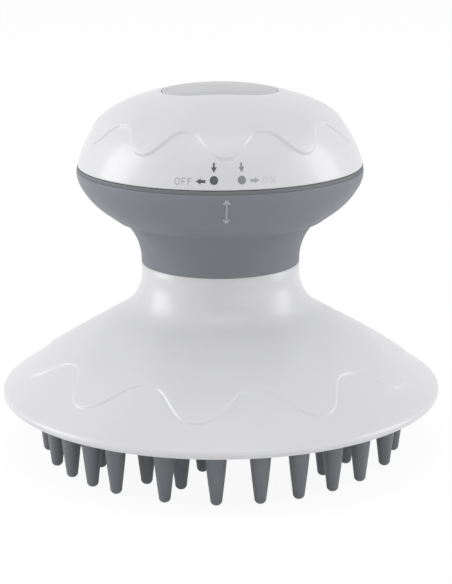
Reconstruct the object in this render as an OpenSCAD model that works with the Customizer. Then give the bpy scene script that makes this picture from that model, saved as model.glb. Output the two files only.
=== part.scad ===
// Battery scalp massager: a palm-sized dome on a waisted neck above a wide skirt of soft fingers.
// Millimetres. Z is up and is the axis of the body, z = 0 is the plane of the fingertips,
// and the front, where the marks of the cap are, faces -Y.
// Angles round the body are measured from the front, towards +X.

/* [Skirt] */
// Radius of the skirt's rim
base_r = 54.5; // [50:0.5:60]
// Wall of the skirt
skirt_wall = 2.4; // [1.8:0.1:3]
// Rounding of the rim's edge
rim_round = 1.2; // [0.8:0.1:1.6]
// Radius of the long convex flank
flank_bend = 380; // [280:10:480]
// Radius of the hollow between neck and flank
neck_bend = 11.5; // [9:0.5:14]
// Straight length of the white neck above the hollow
neck_straight = 2.4; // [1:0.1:5]

/* [Neck] */
// Thinnest wall of the grey sleeve round the neck
sleeve_wall = 1.9; // [1.4:0.1:2.6]
// Height of the sleeve
sleeve_h = 11.2; // [9:0.1:13]
// Radius of the sleeve's hollow side
sleeve_bend = 13.8; // [12.4:0.1:18]
// Straight length at the foot of the sleeve
sleeve_straight = 0.6; // [0.2:0.1:1.4]
// Wall of the spigot inside the sleeve
spigot_wall = 2.2; // [1.6:0.1:2.8]
// Room between the neck screws' bosses and the motor's clamp
neck_clear = 1.12; // [0.5:0.01:3]

/* [Grip bowl] */
// Wall and floor of the bowl
bowl_wall = 2.4; // [1.8:0.1:2.8]
// How far the bowl's lower edge stands out over the sleeve
foot_step = 1.14; // [0.6:0.01:2]
// Rise of the straight stretch over that edge, in degrees
bowl_slope = 36; // [30:1:42]
// Radius of the bowl's side
bowl_side_bend = 18; // [16:0.5:20]
// Radius of the bend just under the rim
bowl_rim_bend = 7; // [5:0.5:9]
// Slope of the side where those two bends meet, in degrees
bowl_meet = 28; // [20:1:34]
// Height of the rim over the widest place
bowl_lip = 0.3; // [0.1:0.1:0.8]

/* [Cap] */
// Height of the dark seam between bowl and cap
seam_h = 1; // [0.7:0.1:1.4]
// Wall of the cap
cap_wall = 2.2; // [1.6:0.1:2.6]
// Radius of the cap's crown
crown_bend = 66; // [60:1:74]
// Radius of the cap's shoulder
shoulder_bend = 21.4; // [19:0.2:23]
// Widest radius of the shoulder's circle over the grip's
shoulder_over = 0.15; // [0:0.05:0.5]
// Depth of that circle's centre under the cap's edge
shoulder_drop = 4.2; // [3:0.1:6]
// Thickness of the tongues that turn the switch ring
tongue_t = 1.7; // [1.2:0.1:2]
// Width of a tongue, in degrees
tongue_angle = 20; // [12:1:26]
// How far the cap turns each way, in degrees
cap_turn = 5.3; // [4:0.1:7]

/* [Badge] */
// Width of the oval badge
badge_w = 28; // [24:0.5:32]
// Depth of the badge, front to back
badge_d = 21.5; // [21:0.5:26]
// Corner radius of the badge
badge_corner = 10; // [6:0.5:10.5]
// Thickness of the badge
badge_t = 0.8; // [0.5:0.1:1]

/* [Switch ring] */
// Radial width of the ring
ring_w = 3.3; // [3:0.1:4]
// Room inside the ring for the corners of the battery tray
ring_clear = 0.77; // [0.5:0.01:2]
// Room between the ring and the bowl's inner wall
ring_inset = 0.6; // [0.4:0.1:1]
// Height of the ring
ring_h = 3.3; // [2.6:0.1:3.7]
// Thickness of the ledge that it turns on
ledge_t = 1.2; // [1:0.1:1.6]
// Half the width of the ring's stop lug, in degrees
lug_half = 4; // [3:0.5:5]
// Thickness of the brass wiper
wiper_t = 0.5; // [0.4:0.05:0.55]

/* [Fingers] */
// Free length of a finger under the rim
finger_len = 14.7; // [12:0.1:17]
// Diameter at the root
finger_root_d = 5.6; // [5:0.1:6]
// Diameter just over the tip
finger_tip_d = 3; // [2.4:0.1:3.6]
// Diameter of the flat at the tip
finger_flat_d = 1.6; // [1.2:0.1:2]
// How far the flange that holds it stands out over the root
finger_flange_w = 0.45; // [0.4:0.05:0.6]
// Thickness of the flange
finger_flange_t = 1.2; // [0.8:0.1:1.6]
// Distance from the plate's edge to the outer ring of fingers
outer_ring_inset = 5.3; // [5:0.1:7]
// Distance between the outer and the second ring
finger_ring_step = 9.1; // [8:0.1:11]
// Radius of the third ring
inner_ring_r = 21.8; // [19:0.1:24]
// Radius of the ring round the centre
centre_ring_r = 9; // [7:0.1:10]

/* [Base] */
// Thickness of the base plate
plate_t = 2; // [1.6:0.1:2.6]
// Width of the rim round the base plate
rim_band = 5.4; // [4.8:0.1:6.4]
// How far the plate lies inside the rim
plate_inset = 0.3; // [0.1:0.1:0.6]
// Width of the ledge that the plate meets
plate_ledge = 2; // [1.6:0.1:2.2]
// Thickness of the plate over the flanges
retainer_t = 1.6; // [1.2:0.1:2]
// Radius of the circle of base screws
base_screw_ring_r = 28.1; // [26:0.1:30]

/* [Motor] */
// Diameter of the motor's can
motor_d = 20.4; // [18:0.1:23]
// Length of the can
motor_len = 16.4; // [14:0.1:19]
// Diameter of the shaft
shaft_d = 2; // [1.5:0.1:2.3]
// Radius of the eccentric weight
weight_r = 8.5; // [7:0.1:10]
// Height of the eccentric weight
weight_h = 5.5; // [4:0.1:7]
// Room under the eccentric weight
weight_clear = 1.5; // [1:0.1:3]
// Thickness of the rubber cushion round the can
cushion_t = 0.9; // [0.7:0.1:1.1]
// Wall of the cup round the cushion
cup_wall = 1.4; // [1.2:0.1:1.6]

/* [Batteries] */
// Diameter of a cell
cell_d = 10.5; // [9.5:0.1:11.5]
// Length of a cell with its nub
cell_len = 44.5; // [40:0.1:49]
// Room for the spring at one end of a cell
spring_len = 2.6; // [2.2:0.1:3]
// Wall of the tray
tray_wall = 1; // [0.8:0.1:1.2]
// Room between the tray's corners and the bowl's slope
corner_clear = 0.06; // [0.05:0.01:0.5]
// Thickness of the contact strips
strip_t = 0.4; // [0.3:0.05:0.5]

/* [Screws] */
// Thread diameter of the base and neck screws
screw_d = 2.6; // [2.2:0.1:3]
// Thread diameter of the small screws
small_screw_d = 2; // [1.6:0.1:2.2]
// Length of a base or neck screw under its head
screw_len = 7.6; // [6:0.1:9]
// Length of a small screw under its head
small_screw_len = 6; // [4:0.1:7]
// Diameter of a boss for these screws
boss_d = 5.4; // [5:0.1:6]

/* [Wires] */
// Diameter of a wire
wire_d = 1.2; // [0.9:0.1:1.3]

/* [Hidden] */
$fn = 72;

// Steps in one bend of an outline
arc_steps = 10;
// Gap between curved faces that don't touch
gap = 0.3;
// Radial gap between a screw or pin and its hole
hole_fit = 0.05;
// Radial gap of the shaft in its bush
shaft_fit = 0.03;
// Overlap of a tool that cuts past a face
past = 1;

// Angles of the fingers seen from the front; each ring repeats them half a turn on
outer_angles = [-70, -58, -47, -37, -20, -4, 9.5, 22, 34.5, 47, 64, 79, 94.5];
middle_angles = [-61, -33.5, -18.5, 43, 60, 77, 95];
inner_angles = [-14.5, 62, 108];
centre_angles = [-45, 45];
base_screw_angles = [12, 133, 192, 313];
leg_angles = [22, 142, 262];
clamp_angles = [0, 120, 240];
neck_screw_angles = [60, 180, 300];
tongue_angles = [60, 180, 300];
lug_angle = 90;

// Direction of an outline's normal at an angle, 0 out and 90 up
function normal(a) = [cos(a), sin(a)];

// One bend of an outline, lying t inside the surface; a hollow bend has a negative radius
function bend(c, r, a0, a1, t = 0) =
    [for (i = [0:arc_steps]) c + (r - t) * normal(a0 + (a1 - a0) * i / arc_steps)];

// Base, from the plate up
plate_z = finger_len + plate_inset;
plate_top_z = plate_z + plate_t;
plate_seat_r = base_r - rim_band;
plate_r = plate_seat_r - gap;
outer_ring_r = plate_r - outer_ring_inset;
middle_ring_r = outer_ring_r - finger_ring_step;
finger_hole_r = finger_root_d / 2 + gap / 2;
finger_flange_r = finger_root_d / 2 + finger_flange_w;
flange_gap = 0.1;
retainer_z = plate_top_z + finger_flange_t + flange_gap;
retainer_top_z = retainer_z + retainer_t;
head_d = 2 * screw_d - 0.4;
head_t = 0.7 * screw_d;
small_head_d = 1.8 * small_screw_d;
small_head_t = 0.55 * small_screw_d;
leg_r = 18;
leg_d = 6;
leg_margin = 0.5;

// Motor, from the weight under it up
weight_gap = 0.7;
weight_z = retainer_top_z + weight_clear;
mount_z = weight_z + weight_h + weight_gap;
mount_t = 2;
can_z = mount_z + mount_t + flange_gap;
can_top_z = can_z + motor_len;
bell_t = 2.4;
bell_top_z = can_top_z + bell_t;
can_r = motor_d / 2;
cushion_in_r = can_r + gap / 2;
cushion_out_r = cushion_in_r + cushion_t;
cushion_drop = 2;
cup_in_r = cushion_out_r + gap / 2;
cup_out_r = cup_in_r + cup_wall;
clamp_t = 1.5;
clamp_z = bell_top_z + 0.2;
clamp_hole_r = 6.5;
clamp_screw_r = cup_out_r + 0.2;
cup_boss_r = small_screw_d / 2 + 0.8;
clamp_head_d = 2 * cup_boss_r - 0.4;
bush_d = 6;
bush_h = 2;
hub_r = shaft_d / 2 + 1.6;
shaft_tail = 0.6;
terminal_x = 3.5;
terminal_h = 3.4;
terminal_t = 0.5;
terminal_w = 2.2;
terminal_fit = 0.2;

// Neck and sleeve, round the motor's cup
spigot_in_r = clamp_screw_r + cup_boss_r + gap;
spigot_r = spigot_in_r + spigot_wall;
neck_r = spigot_r + gap + sleeve_wall;
clamp_r = spigot_in_r - gap;
bowl_z = clamp_z + clamp_t + neck_clear + screw_len;
neck_z = bowl_z - sleeve_h;
sleeve_c = [neck_r + sleeve_bend, neck_z + sleeve_straight];
sleeve_turn = asin((bowl_z - sleeve_c[1]) / sleeve_bend);
sleeve_top_r = sleeve_c[0] - sleeve_bend * cos(sleeve_turn);
neck_screw_r = spigot_in_r - boss_d / 2 + 0.1;
wire_hole_r = 7.5;

// Skirt; the flank's circle touches the rim's circle and the hollow's
rim_c = [base_r - rim_round, finger_len + rim_round];
hollow_c = [neck_r + neck_bend, neck_z - neck_straight];
rim_reach = flank_bend - rim_round;
hollow_reach = flank_bend + neck_bend;
centres = hollow_c - rim_c;
apart = norm(centres);
along = (pow(rim_reach, 2) - pow(hollow_reach, 2) + pow(apart, 2)) / (2 * apart);
aside = sqrt(pow(rim_reach, 2) - pow(along, 2));
flank_c = rim_c + (along * centres + aside * [-centres[1], centres[0]]) / apart;
neck_turn = atan2(hollow_c[1] - flank_c[1], hollow_c[0] - flank_c[0]);
rim_turn = atan2(rim_c[1] - flank_c[1], rim_c[0] - flank_c[0]);
retainer_r = inside_r(retainer_top_z) - gap;

// Battery tray seen from above
cell_gap = 0.7;
cell_y = (cell_d + cell_gap) / 2;
bay_x = cell_len / 2 + spring_len / 2 + strip_t + 0.25;
bay_y = cell_y + cell_d / 2 + 0.2;
tray_x = bay_x + tray_wall;
tray_y = bay_y + tray_wall;
corner_r = norm([tray_x, tray_y]);

// Switch ring round the tray, and the bowl round the ring
ring_bore_r = corner_r + ring_clear;
ring_r = ring_bore_r + ring_w;
grip_r = ring_r + ring_inset + bowl_wall;

// Bowl
bowl_foot_r = sleeve_top_r + foot_step;
rim_x = grip_r - bowl_rim_bend;
side_x = rim_x - (bowl_side_bend - bowl_rim_bend) * cos(bowl_meet);
slope_top_x = side_x + bowl_side_bend * cos(90 - bowl_slope);
slope_top_z = bowl_z + (slope_top_x - bowl_foot_r) * tan(bowl_slope);
side_c = [side_x, slope_top_z + bowl_side_bend * sin(90 - bowl_slope)];
rim_bend_c = [rim_x, side_c[1] - (bowl_side_bend - bowl_rim_bend) * sin(bowl_meet)];
floor_z = bowl_z + bowl_wall;
floor_r = bowl_foot_r + bowl_wall / tan(bowl_slope) - bowl_wall / sin(bowl_slope);
lip_z = rim_bend_c[1] + bowl_lip;

// Cap
edge_z = lip_z + seam_h;
shoulder_c = [grip_r + shoulder_over - shoulder_bend, edge_z - shoulder_drop];
crown_fall = sqrt(pow(crown_bend - shoulder_bend, 2) - pow(shoulder_c[0], 2));
crown_c = [0, shoulder_c[1] - crown_fall];
crown_turn = atan2(crown_fall, shoulder_c[0]);
top_z = crown_c[1] + crown_bend;

// Heights of the switch ring, and the tongues in it
ring_top_z = lip_z - gap;
ledge_z = ring_top_z - ring_h;
ledge_clear = 0.1;
seat_r = ring_r + gap;
tongue_in_r = ring_bore_r + 0.5;
tongue_out_r = tongue_in_r + tongue_t;
notch_r = tongue_out_r + gap;
notch_play = 0.6;
seal_in_r = notch_r + ledge_clear;
seal_out_r = grip_r - 0.5;
seal_h = seam_h - 0.2;

// Heights of the battery tray, which stands as low as its corners and the wires allow
tray_floor_t = 1.2;
wire_room = 1.1;
corner_rise = (corner_r + corner_clear - floor_r) * tan(bowl_slope);
tray_foot_h = max(corner_rise, wire_room + wire_d / 2 + gap);
tray_z = floor_z + tray_foot_h;
cell_z = tray_z + tray_floor_t + flange_gap + cell_d / 2;
tray_h = 7;
strip_w = 8;
strip_h = 8.5;
strip_z = tray_z + tray_floor_t + flange_gap;
tail_w = 2;
tail_fit = 0.2;
tray_screw_x = 16;
tray_screw_bite = 1.4;
tray_hole_z = bowl_z + 0.8;
foot_d = 5;
nub_d = 3.8;
nub_len = 0.8;
nub_x = bay_x - strip_t - 0.2;
spring_wire_d = 0.5;
spring_wide_r = cell_d / 2 - 1.35;
spring_narrow_r = nub_d / 2 - 0.1;

// Switch block and its contacts
block_w = 13;
block_t = 5.5;
block_inset = 1.45;
block_far_y = sqrt(pow(floor_r, 2) - pow(block_w / 2, 2)) - block_inset;
block_near_y = block_far_y - block_t;
block_top_z = ledge_z - ledge_t + 0.3;
blade_w = 2.4;
blade_t = 0.5;
blade_x = 3.3;
blade_tail_z = floor_z + 0.8;
blade_y = ring_bore_r - wiper_t - flange_gap - gap - blade_t / 2 - 0.2;
blade_top_z = ring_top_z - 0.7;
wiper_from = -14;
wiper_to = 4;

// Inner radius of the skirt at a height on its flank
function inside_r(z) =
    flank_c[0] + sqrt(pow(flank_bend - skirt_wall, 2) - pow(z - flank_c[1], 2));

// Place r away from the axis at an angle from the front
module at(r, a, z = 0) rotate([0, 0, a - 90]) translate([r, 0, z]) children();

module tube(r_in, r_out, z0, z1) {
    translate([0, 0, z0])
        difference() {
            cylinder(r = r_out, h = z1 - z0);
            translate([0, 0, -past]) cylinder(r = r_in, h = z1 - z0 + 2 * past);
        }
}

module rod(r, z0, z1) translate([0, 0, z0]) cylinder(r = r, h = z1 - z0);

// Part of a tube between two angles from the front
module arc_block(r_in, r_out, z0, z1, a0, a1) {
    rotate([0, 0, a0 - 90])
        rotate_extrude(angle = a1 - a0)
            translate([r_in, z0]) square([r_out - r_in, z1 - z0]);
}

// Pan head screw standing on its thread's end, with the head's underside at z
module screw(d, head_d, head_t, len, z) {
    rod(d / 2, z - len, z + head_t / 2);
    rod(head_d / 2, z, z + head_t);
}

// Points of a smooth line through a route, n steps between two of its points
function smooth(p, n) = concat(
    [for (i = [0:len(p) - 2], k = [0:n - 1]) curve_point(
        p[max(i - 1, 0)], p[i], p[i + 1], p[min(i + 2, len(p) - 1)], k / n)],
    [p[len(p) - 1]]);
function curve_point(a, b, c, d, t) =
    0.5 * (2 * b + (c - a) * t + (2 * a - 5 * b + 4 * c - d) * t * t
        + (3 * b - a - 3 * c + d) * t * t * t);

function unit(v) = v / norm(v);
function heading(p, i) = unit(p[min(i + 1, len(p) - 1)] - p[max(i - 1, 0)]);
function ring_at(c, dir, side, r, n) =
    let(u = unit(cross(dir, side)), v = cross(dir, u))
        [for (k = [0:n - 1]) c + r * (u * cos(360 * k / n) + v * sin(360 * k / n))];

// Tube of n sides along points p; side is a direction that the tube never follows
module swept_tube(p, r, n, side) {
    rings = [for (i = [0:len(p) - 1]) ring_at(p[i], heading(p, i), side, r, n)];
    points = [for (ring = rings, q = ring) q];
    last = (len(p) - 1) * n;
    sides = [for (i = [0:len(p) - 2], k = [0:n - 1])
        let(a = i * n + k, b = i * n + (k + 1) % n)
            each [[a, b, b + n], [a, b + n, a + n]]];
    ends = concat([for (k = [1:n - 2]) [0, k + 1, k]],
        [for (k = [1:n - 2]) [last, last + k, last + k + 1]]);
    polyhedron(points, concat(sides, ends));
}

// Outlines of the skin and of the hollow under it, from the axis out

function dome_line(t) = concat(
    bend(crown_c, crown_bend, 90, crown_turn, t),
    bend(shoulder_c, shoulder_bend, crown_turn, 0, t));

function bowl_line(t) = concat(
    bend(rim_bend_c, bowl_rim_bend, 0, -bowl_meet, t),
    bend(side_c, bowl_side_bend, -bowl_meet, bowl_slope - 90, t));

function sleeve_line() = bend(sleeve_c, -sleeve_bend, -sleeve_turn, 0);

function flank_line(t) = concat(
    bend(hollow_c, -neck_bend, 0, neck_turn, t),
    bend(flank_c, flank_bend, neck_turn, rim_turn, t));

// Area under the dome's outline, with a straight side from the shoulder down to low_z
module dome_area(t) {
    line = dome_line(t);
    low_z = min(shoulder_c[1], ledge_z) - past;
    polygon(concat([[0, low_z]], line, [[line[len(line) - 1][0], low_z]]));
}

// Cap

module cap_profile() {
    difference() {
        dome_area(0);
        dome_area(cap_wall);
        translate([0, edge_z - shoulder_bend]) square([grip_r + past, shoulder_bend]);
    }
}

// The collar runs from the tongues' ends up into the dome
module collar_profile() {
    intersection() {
        dome_area(cap_wall / 2);
        translate([tongue_in_r, ledge_z + gap]) square([tongue_t, shoulder_bend]);
    }
}

module badge_area(grow) {
    w = badge_w + 2 * grow;
    d = badge_d + 2 * grow;
    r = badge_corner + grow;
    square([w - 2 * r, d], center = true);
    square([w, d - 2 * r], center = true);
    for (x = [-1, 1], y = [-1, 1])
        translate([x * (w / 2 - r), y * (d / 2 - r)]) circle(r);
}

// Slab that follows the crown between two depths, cut to the badge's shape
module badge_slab(depth_top, depth_low, grow) {
    intersection() {
        translate([0, 0, shoulder_c[1]])
            linear_extrude(top_z - shoulder_c[1] + past) badge_area(grow);
        rotate_extrude()
            difference() {
                dome_area(depth_top);
                dome_area(depth_low);
            }
    }
}

module top_cap() {
    pitch = 360 / len(tongue_angles);
    color("white")
        difference() {
            rotate_extrude() {
                cap_profile();
                collar_profile();
            }
            badge_slab(-past, badge_t + flange_gap, gap / 2);
            for (a = tongue_angles)
                arc_block(tongue_in_r - past, tongue_out_r + past, ledge_z - past, edge_z,
                    a + tongue_angle / 2, a + pitch - tongue_angle / 2);
        }
}

module badge_plate() color("silver") badge_slab(0, badge_t, 0);

// Switch ring under the cap

module switch_ring() {
    color("dimgray") {
        difference() {
            tube(ring_bore_r, ring_r, ledge_z, ring_top_z);
            for (a = tongue_angles)
                arc_block(ring_bore_r - past, notch_r, ledge_z - past, ring_top_z + past,
                    a - tongue_angle / 2 - notch_play, a + tongue_angle / 2 + notch_play);
        }
        arc_block(ring_bore_r + gap, ring_r - gap - past, ledge_z - ledge_t + 0.2, ledge_z + 0.5,
            lug_angle - lug_half, lug_angle + lug_half);
    }
}

module ring_wiper() {
    color("gold")
        arc_block(ring_bore_r - flange_gap - wiper_t, ring_bore_r - flange_gap,
            ledge_z + 0.2, ring_top_z - 0.5, wiper_from, wiper_to);
}

module seam_seal() color("dimgray") tube(seal_in_r, seal_out_r, lip_z, lip_z + seal_h);

// Bowl

module bowl_skin(t, low_z) {
    line = bowl_line(t);
    last = line[len(line) - 1];
    run = (last[1] - low_z) / tan(bowl_slope);
    polygon(concat([[0, lip_z + past], [line[0][0], lip_z + past]], line,
        [[last[0] - run, low_z], [0, low_z]]));
}

// The hollow of the bowl, waisted by the ledge that the switch ring turns on
module bowl_hollow() {
    difference() {
        bowl_skin(bowl_wall, floor_z);
        translate([ring_bore_r + ledge_clear, ledge_z - ledge_t]) square([grip_r, ledge_t]);
    }
}

module bowl_profile() {
    difference() {
        bowl_skin(0, bowl_z);
        bowl_hollow();
        translate([0, ledge_z]) square([seat_r, lip_z - ledge_z + 2 * past]);
        translate([0, lip_z]) square([grip_r + past, 2 * past]);
        translate([0, bowl_z - past]) square([wire_hole_r, bowl_wall + 2 * past]);
    }
}

module grip_bowl() {
    slot_half = lug_half + cap_turn + 0.7;
    color("slategray")
        difference() {
            rotate_extrude() bowl_profile();
            arc_block(ring_bore_r - past, ring_r - gap - past / 2, ledge_z - ledge_t - past,
                ledge_z + past, lug_angle - slot_half, lug_angle + slot_half);
            for (a = neck_screw_angles)
                at(neck_screw_r, a) rod(screw_d / 2 + hole_fit, bowl_z - past, floor_z + past);
            for (side = [-1, 1])
                translate([side * tray_screw_x, 0])
                    rod(small_screw_d / 2 + hole_fit, tray_hole_z, floor_z + past);
        }
}

// Sleeve round the neck

module neck_sleeve() {
    line = sleeve_line();
    in_r = spigot_r + gap;
    color("slategray")
        rotate_extrude()
            polygon(concat([[in_r, bowl_z]], line, [[neck_r, neck_z], [in_r, neck_z]]));
}

// Skirt

module skirt_profile() {
    outer = flank_line(0);
    inner = flank_line(skirt_wall);
    ledge_r = plate_seat_r - plate_ledge;
    difference() {
        polygon(concat([[0, bowl_z], [spigot_r, bowl_z], [spigot_r, neck_z], [neck_r, neck_z]],
            outer, bend(rim_c, rim_round, rim_turn, -90), [[0, finger_len]]));
        translate([0, finger_len - past]) square([spigot_in_r, bowl_z - finger_len + 2 * past]);
        intersection() {
            polygon(concat([[0, hollow_c[1]]], inner, [[0, inner[len(inner) - 1][1]]]));
            translate([0, finger_len - past]) square([ledge_r, neck_z - finger_len]);
        }
        translate([0, finger_len - past]) square([ledge_r, plate_top_z - finger_len + 2 * past]);
        translate([0, finger_len - past]) square([plate_seat_r, plate_top_z - finger_len + past]);
    }
}

// Posts that hang from the flank and take the base screws
module skirt_post() {
    z1 = flank_c[1] + sqrt(pow(flank_bend - skirt_wall / 2, 2)
        - pow(base_screw_ring_r - flank_c[0] + boss_d / 2, 2));
    rod(boss_d / 2, retainer_top_z, z1);
}

module skirt_shell() {
    color("white")
        difference() {
            union() {
                rotate_extrude() skirt_profile();
                for (a = base_screw_angles) at(base_screw_ring_r, a) skirt_post();
                for (a = neck_screw_angles)
                    at(neck_screw_r, a) rod(boss_d / 2, bowl_z - screw_len, bowl_z);
            }
            for (a = base_screw_angles)
                at(base_screw_ring_r, a)
                    rod(screw_d / 2 + hole_fit, retainer_top_z - past, plate_z + head_t + screw_len + gap);
            for (a = neck_screw_angles)
                at(neck_screw_r, a)
                    rod(screw_d / 2 + hole_fit, floor_z - screw_len - gap, bowl_z + past);
        }
}

// Base plate, fingers and the plate over their flanges

module each_finger(r, angles) {
    for (a = angles, half = [0, 180]) at(r, a + half) children();
}

module finger_holes(z0, z1) {
    each_finger(outer_ring_r, outer_angles) rod(finger_hole_r, z0, z1);
    each_finger(middle_ring_r, middle_angles) rod(finger_hole_r, z0, z1);
    each_finger(inner_ring_r, inner_angles) rod(finger_hole_r, z0, z1);
    each_finger(centre_ring_r, centre_angles) rod(finger_hole_r, z0, z1);
}

module base_plate() {
    color("white")
        difference() {
            rod(plate_r, plate_z, plate_top_z);
            finger_holes(plate_z - past, plate_top_z + past);
            for (a = base_screw_angles)
                at(base_screw_ring_r, a) rod(head_d / 2 + gap, plate_z - past, plate_top_z + past);
        }
}

// The retainer presses on the flanges; each base screw's head bears on its sunk rim
module finger_retainer() {
    color("gainsboro")
        difference() {
            union() {
                rod(retainer_r, retainer_z, retainer_top_z);
                for (a = base_screw_angles)
                    at(base_screw_ring_r, a)
                        rod(boss_d / 2, plate_z + head_t, retainer_z + retainer_t / 2);
            }
            for (a = base_screw_angles)
                at(base_screw_ring_r, a)
                    rod(screw_d / 2 + hole_fit, plate_z - past, retainer_top_z + past);
            for (a = leg_angles)
                at(leg_r, a) rod(small_screw_d / 2 + hole_fit, retainer_z - past, retainer_top_z + past);
        }
}

module finger() {
    tip_r = finger_tip_d / 2;
    flat_r = finger_flat_d / 2;
    round_r = tip_r - flat_r;
    root_r = finger_root_d / 2;
    rotate_extrude()
        polygon(concat([[0, 0]], bend([flat_r, round_r], round_r, -90, 0),
            [[root_r, plate_z], [root_r, plate_top_z],
             [finger_flange_r, plate_top_z],
             [finger_flange_r, plate_top_z + finger_flange_t],
             [0, plate_top_z + finger_flange_t]]));
}

module fingers_outer() color("gray") each_finger(outer_ring_r, outer_angles) finger();

module fingers_middle() color("gray") each_finger(middle_ring_r, middle_angles) finger();

module fingers_inner() {
    color("gray") {
        each_finger(inner_ring_r, inner_angles) finger();
        each_finger(centre_ring_r, centre_angles) finger();
    }
}

module base_screws() {
    color("silver")
        for (a = base_screw_angles)
            at(base_screw_ring_r, a)
                translate([0, 0, plate_z + head_t]) mirror([0, 0, 1])
                    screw(screw_d, head_d, head_t, screw_len, 0);
}

module neck_screws() {
    color("silver")
        for (a = neck_screw_angles)
            at(neck_screw_r, a) screw(screw_d, head_d, head_t, screw_len, floor_z);
}

// Motor and what holds it

// The cup's wall with its screw bosses, seen from above
module cup_area() {
    difference() {
        union() {
            circle(cup_out_r);
            for (a = clamp_angles) rotate(a - 90) translate([clamp_screw_r, 0]) circle(cup_boss_r);
        }
        circle(cup_in_r);
        for (a = clamp_angles)
            rotate(a - 90) translate([clamp_screw_r, 0]) circle(small_screw_d / 2 + hole_fit);
    }
}

module motor_mount() {
    floor_top = mount_z + mount_t;
    leg_hole_z = retainer_z + small_screw_len + gap;
    color("dimgray") {
        difference() {
            union() {
                rod(leg_r + leg_d / 2 + leg_margin, mount_z, floor_top);
                for (a = leg_angles)
                    at(leg_r, a) rod(leg_d / 2, retainer_top_z, mount_z + mount_t / 2);
            }
            rod(bush_d / 2 + gap, mount_z - past, floor_top + past);
            for (a = leg_angles)
                at(leg_r, a)
                    rod(small_screw_d / 2 + hole_fit, retainer_top_z - past, leg_hole_z);
        }
        translate([0, 0, floor_top - mount_t / 4])
            linear_extrude(clamp_z - floor_top + mount_t / 4) cup_area();
    }
}

module motor_cushion() {
    color("black") tube(cushion_in_r, cushion_out_r, can_z, can_top_z - cushion_drop);
}

module motor_can() {
    color("silver")
        difference() {
            rod(can_r, can_z, can_top_z);
            rod(shaft_d / 2 + gap, can_z - past, can_z + motor_len / 2);
        }
}

module shaft_bush() {
    color("gold") tube(shaft_d / 2 + shaft_fit, bush_d / 2, can_z - bush_h, can_z);
}

module motor_end_bell() {
    color("whitesmoke")
        difference() {
            rod(can_r - gap, can_top_z, bell_top_z);
            for (side = [-1, 1])
                translate([side * terminal_x, 0, can_top_z + bell_t / 2])
                    cube([terminal_t + 2 * terminal_fit, terminal_w + 2 * terminal_fit,
                        bell_t + 2 * past], center = true);
        }
}

module motor_terminals() {
    color("gold")
        for (side = [-1, 1])
            translate([side * terminal_x - terminal_t / 2, -terminal_w / 2, can_top_z])
                cube([terminal_t, terminal_w, bell_t + terminal_h]);
}

module motor_clamp() {
    color("dimgray")
        difference() {
            tube(clamp_hole_r, clamp_r, clamp_z, clamp_z + clamp_t);
            for (a = clamp_angles)
                at(clamp_screw_r, a)
                    rod(small_screw_d / 2 + hole_fit, clamp_z - past, clamp_z + clamp_t + past);
        }
}

module clamp_screws() {
    color("silver")
        for (a = clamp_angles)
            at(clamp_screw_r, a)
                screw(small_screw_d, clamp_head_d, small_head_t, small_screw_len, clamp_z + clamp_t);
}

module mount_screws() {
    color("silver")
        for (a = leg_angles)
            at(leg_r, a) translate([0, 0, retainer_z]) mirror([0, 0, 1])
                screw(small_screw_d, small_head_d, small_head_t, small_screw_len, 0);
}

module motor_shaft() {
    color("silver") rod(shaft_d / 2, weight_z - shaft_tail, can_z + motor_len / 2 - gap);
}

module eccentric_weight() {
    color("goldenrod")
        difference() {
            union() {
                rod(hub_r, weight_z, weight_z + weight_h);
                intersection() {
                    rod(weight_r, weight_z, weight_z + weight_h);
                    translate([-weight_r, 0, weight_z]) cube([2 * weight_r, weight_r, weight_h]);
                }
            }
            rod(shaft_d / 2, weight_z - past, weight_z + weight_h + past);
        }
}

// Batteries in their tray

module battery_tray() {
    color("dimgray")
        difference() {
            union() {
                translate([-tray_x, -tray_y, tray_z]) cube([2 * tray_x, 2 * tray_y, tray_h]);
                for (side = [-1, 1])
                    translate([side * tray_screw_x, 0]) rod(foot_d / 2, floor_z, tray_z + past / 2);
            }
            for (side = [-1, 1])
                translate([-bay_x, side * (bay_y + cell_gap / 2) / 2 - (bay_y - cell_gap / 2) / 2,
                    tray_z + tray_floor_t])
                    cube([2 * bay_x, bay_y - cell_gap / 2, tray_h]);
            for (side = [-1, 1])
                translate([side * tray_screw_x, 0]) {
                    rod(small_head_d / 2 + gap, tray_z + tray_floor_t, tray_z + tray_h + past);
                    rod(small_screw_d / 2 + hole_fit, floor_z - past, tray_z + tray_floor_t + past);
                }
            translate([-bay_x, -cell_y, tray_z + tray_floor_t])
                cube([strip_t + 0.6, 2 * cell_y, tray_h]);
            for (side = [-1, 1])
                translate([bay_x - strip_t - 2 * tail_fit, side * cell_y - tail_w / 2 - tail_fit,
                    tray_z - past])
                    cube([strip_t + 2 * tail_fit, tail_w + 2 * tail_fit, tray_floor_t + 2 * past]);
        }
}

module tray_screws() {
    color("silver")
        for (side = [-1, 1])
            translate([side * tray_screw_x, 0])
                screw(small_screw_d, small_head_d, small_head_t,
                    tray_foot_h + tray_floor_t + tray_screw_bite, tray_z + tray_floor_t);
}

// A cell lying along X with its nub towards +X, the nub's end at x = 0
module cell() {
    rotate([0, -90, 0]) {
        rod(nub_d / 2, 0, nub_len + past / 2);
        rod(cell_d / 2, nub_len, cell_len);
    }
}

// The two cells lie head to tail
module battery_cells() {
    color("seagreen")
        for (turn = [0, 180])
            rotate([0, 0, turn]) translate([nub_x, -cell_y, cell_z]) cell();
}

// Coil that narrows towards the cell, from the strip at x = 0 out to x = length
function coil_line(length, turns) =
    [for (i = [0:8 * turns])
        let(k = i / (8 * turns), r = spring_wide_r * (1 - k) + spring_narrow_r * k)
            [spring_wire_d / 2 + (length - spring_wire_d) * k, r * cos(45 * i), r * sin(45 * i)]];

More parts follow.
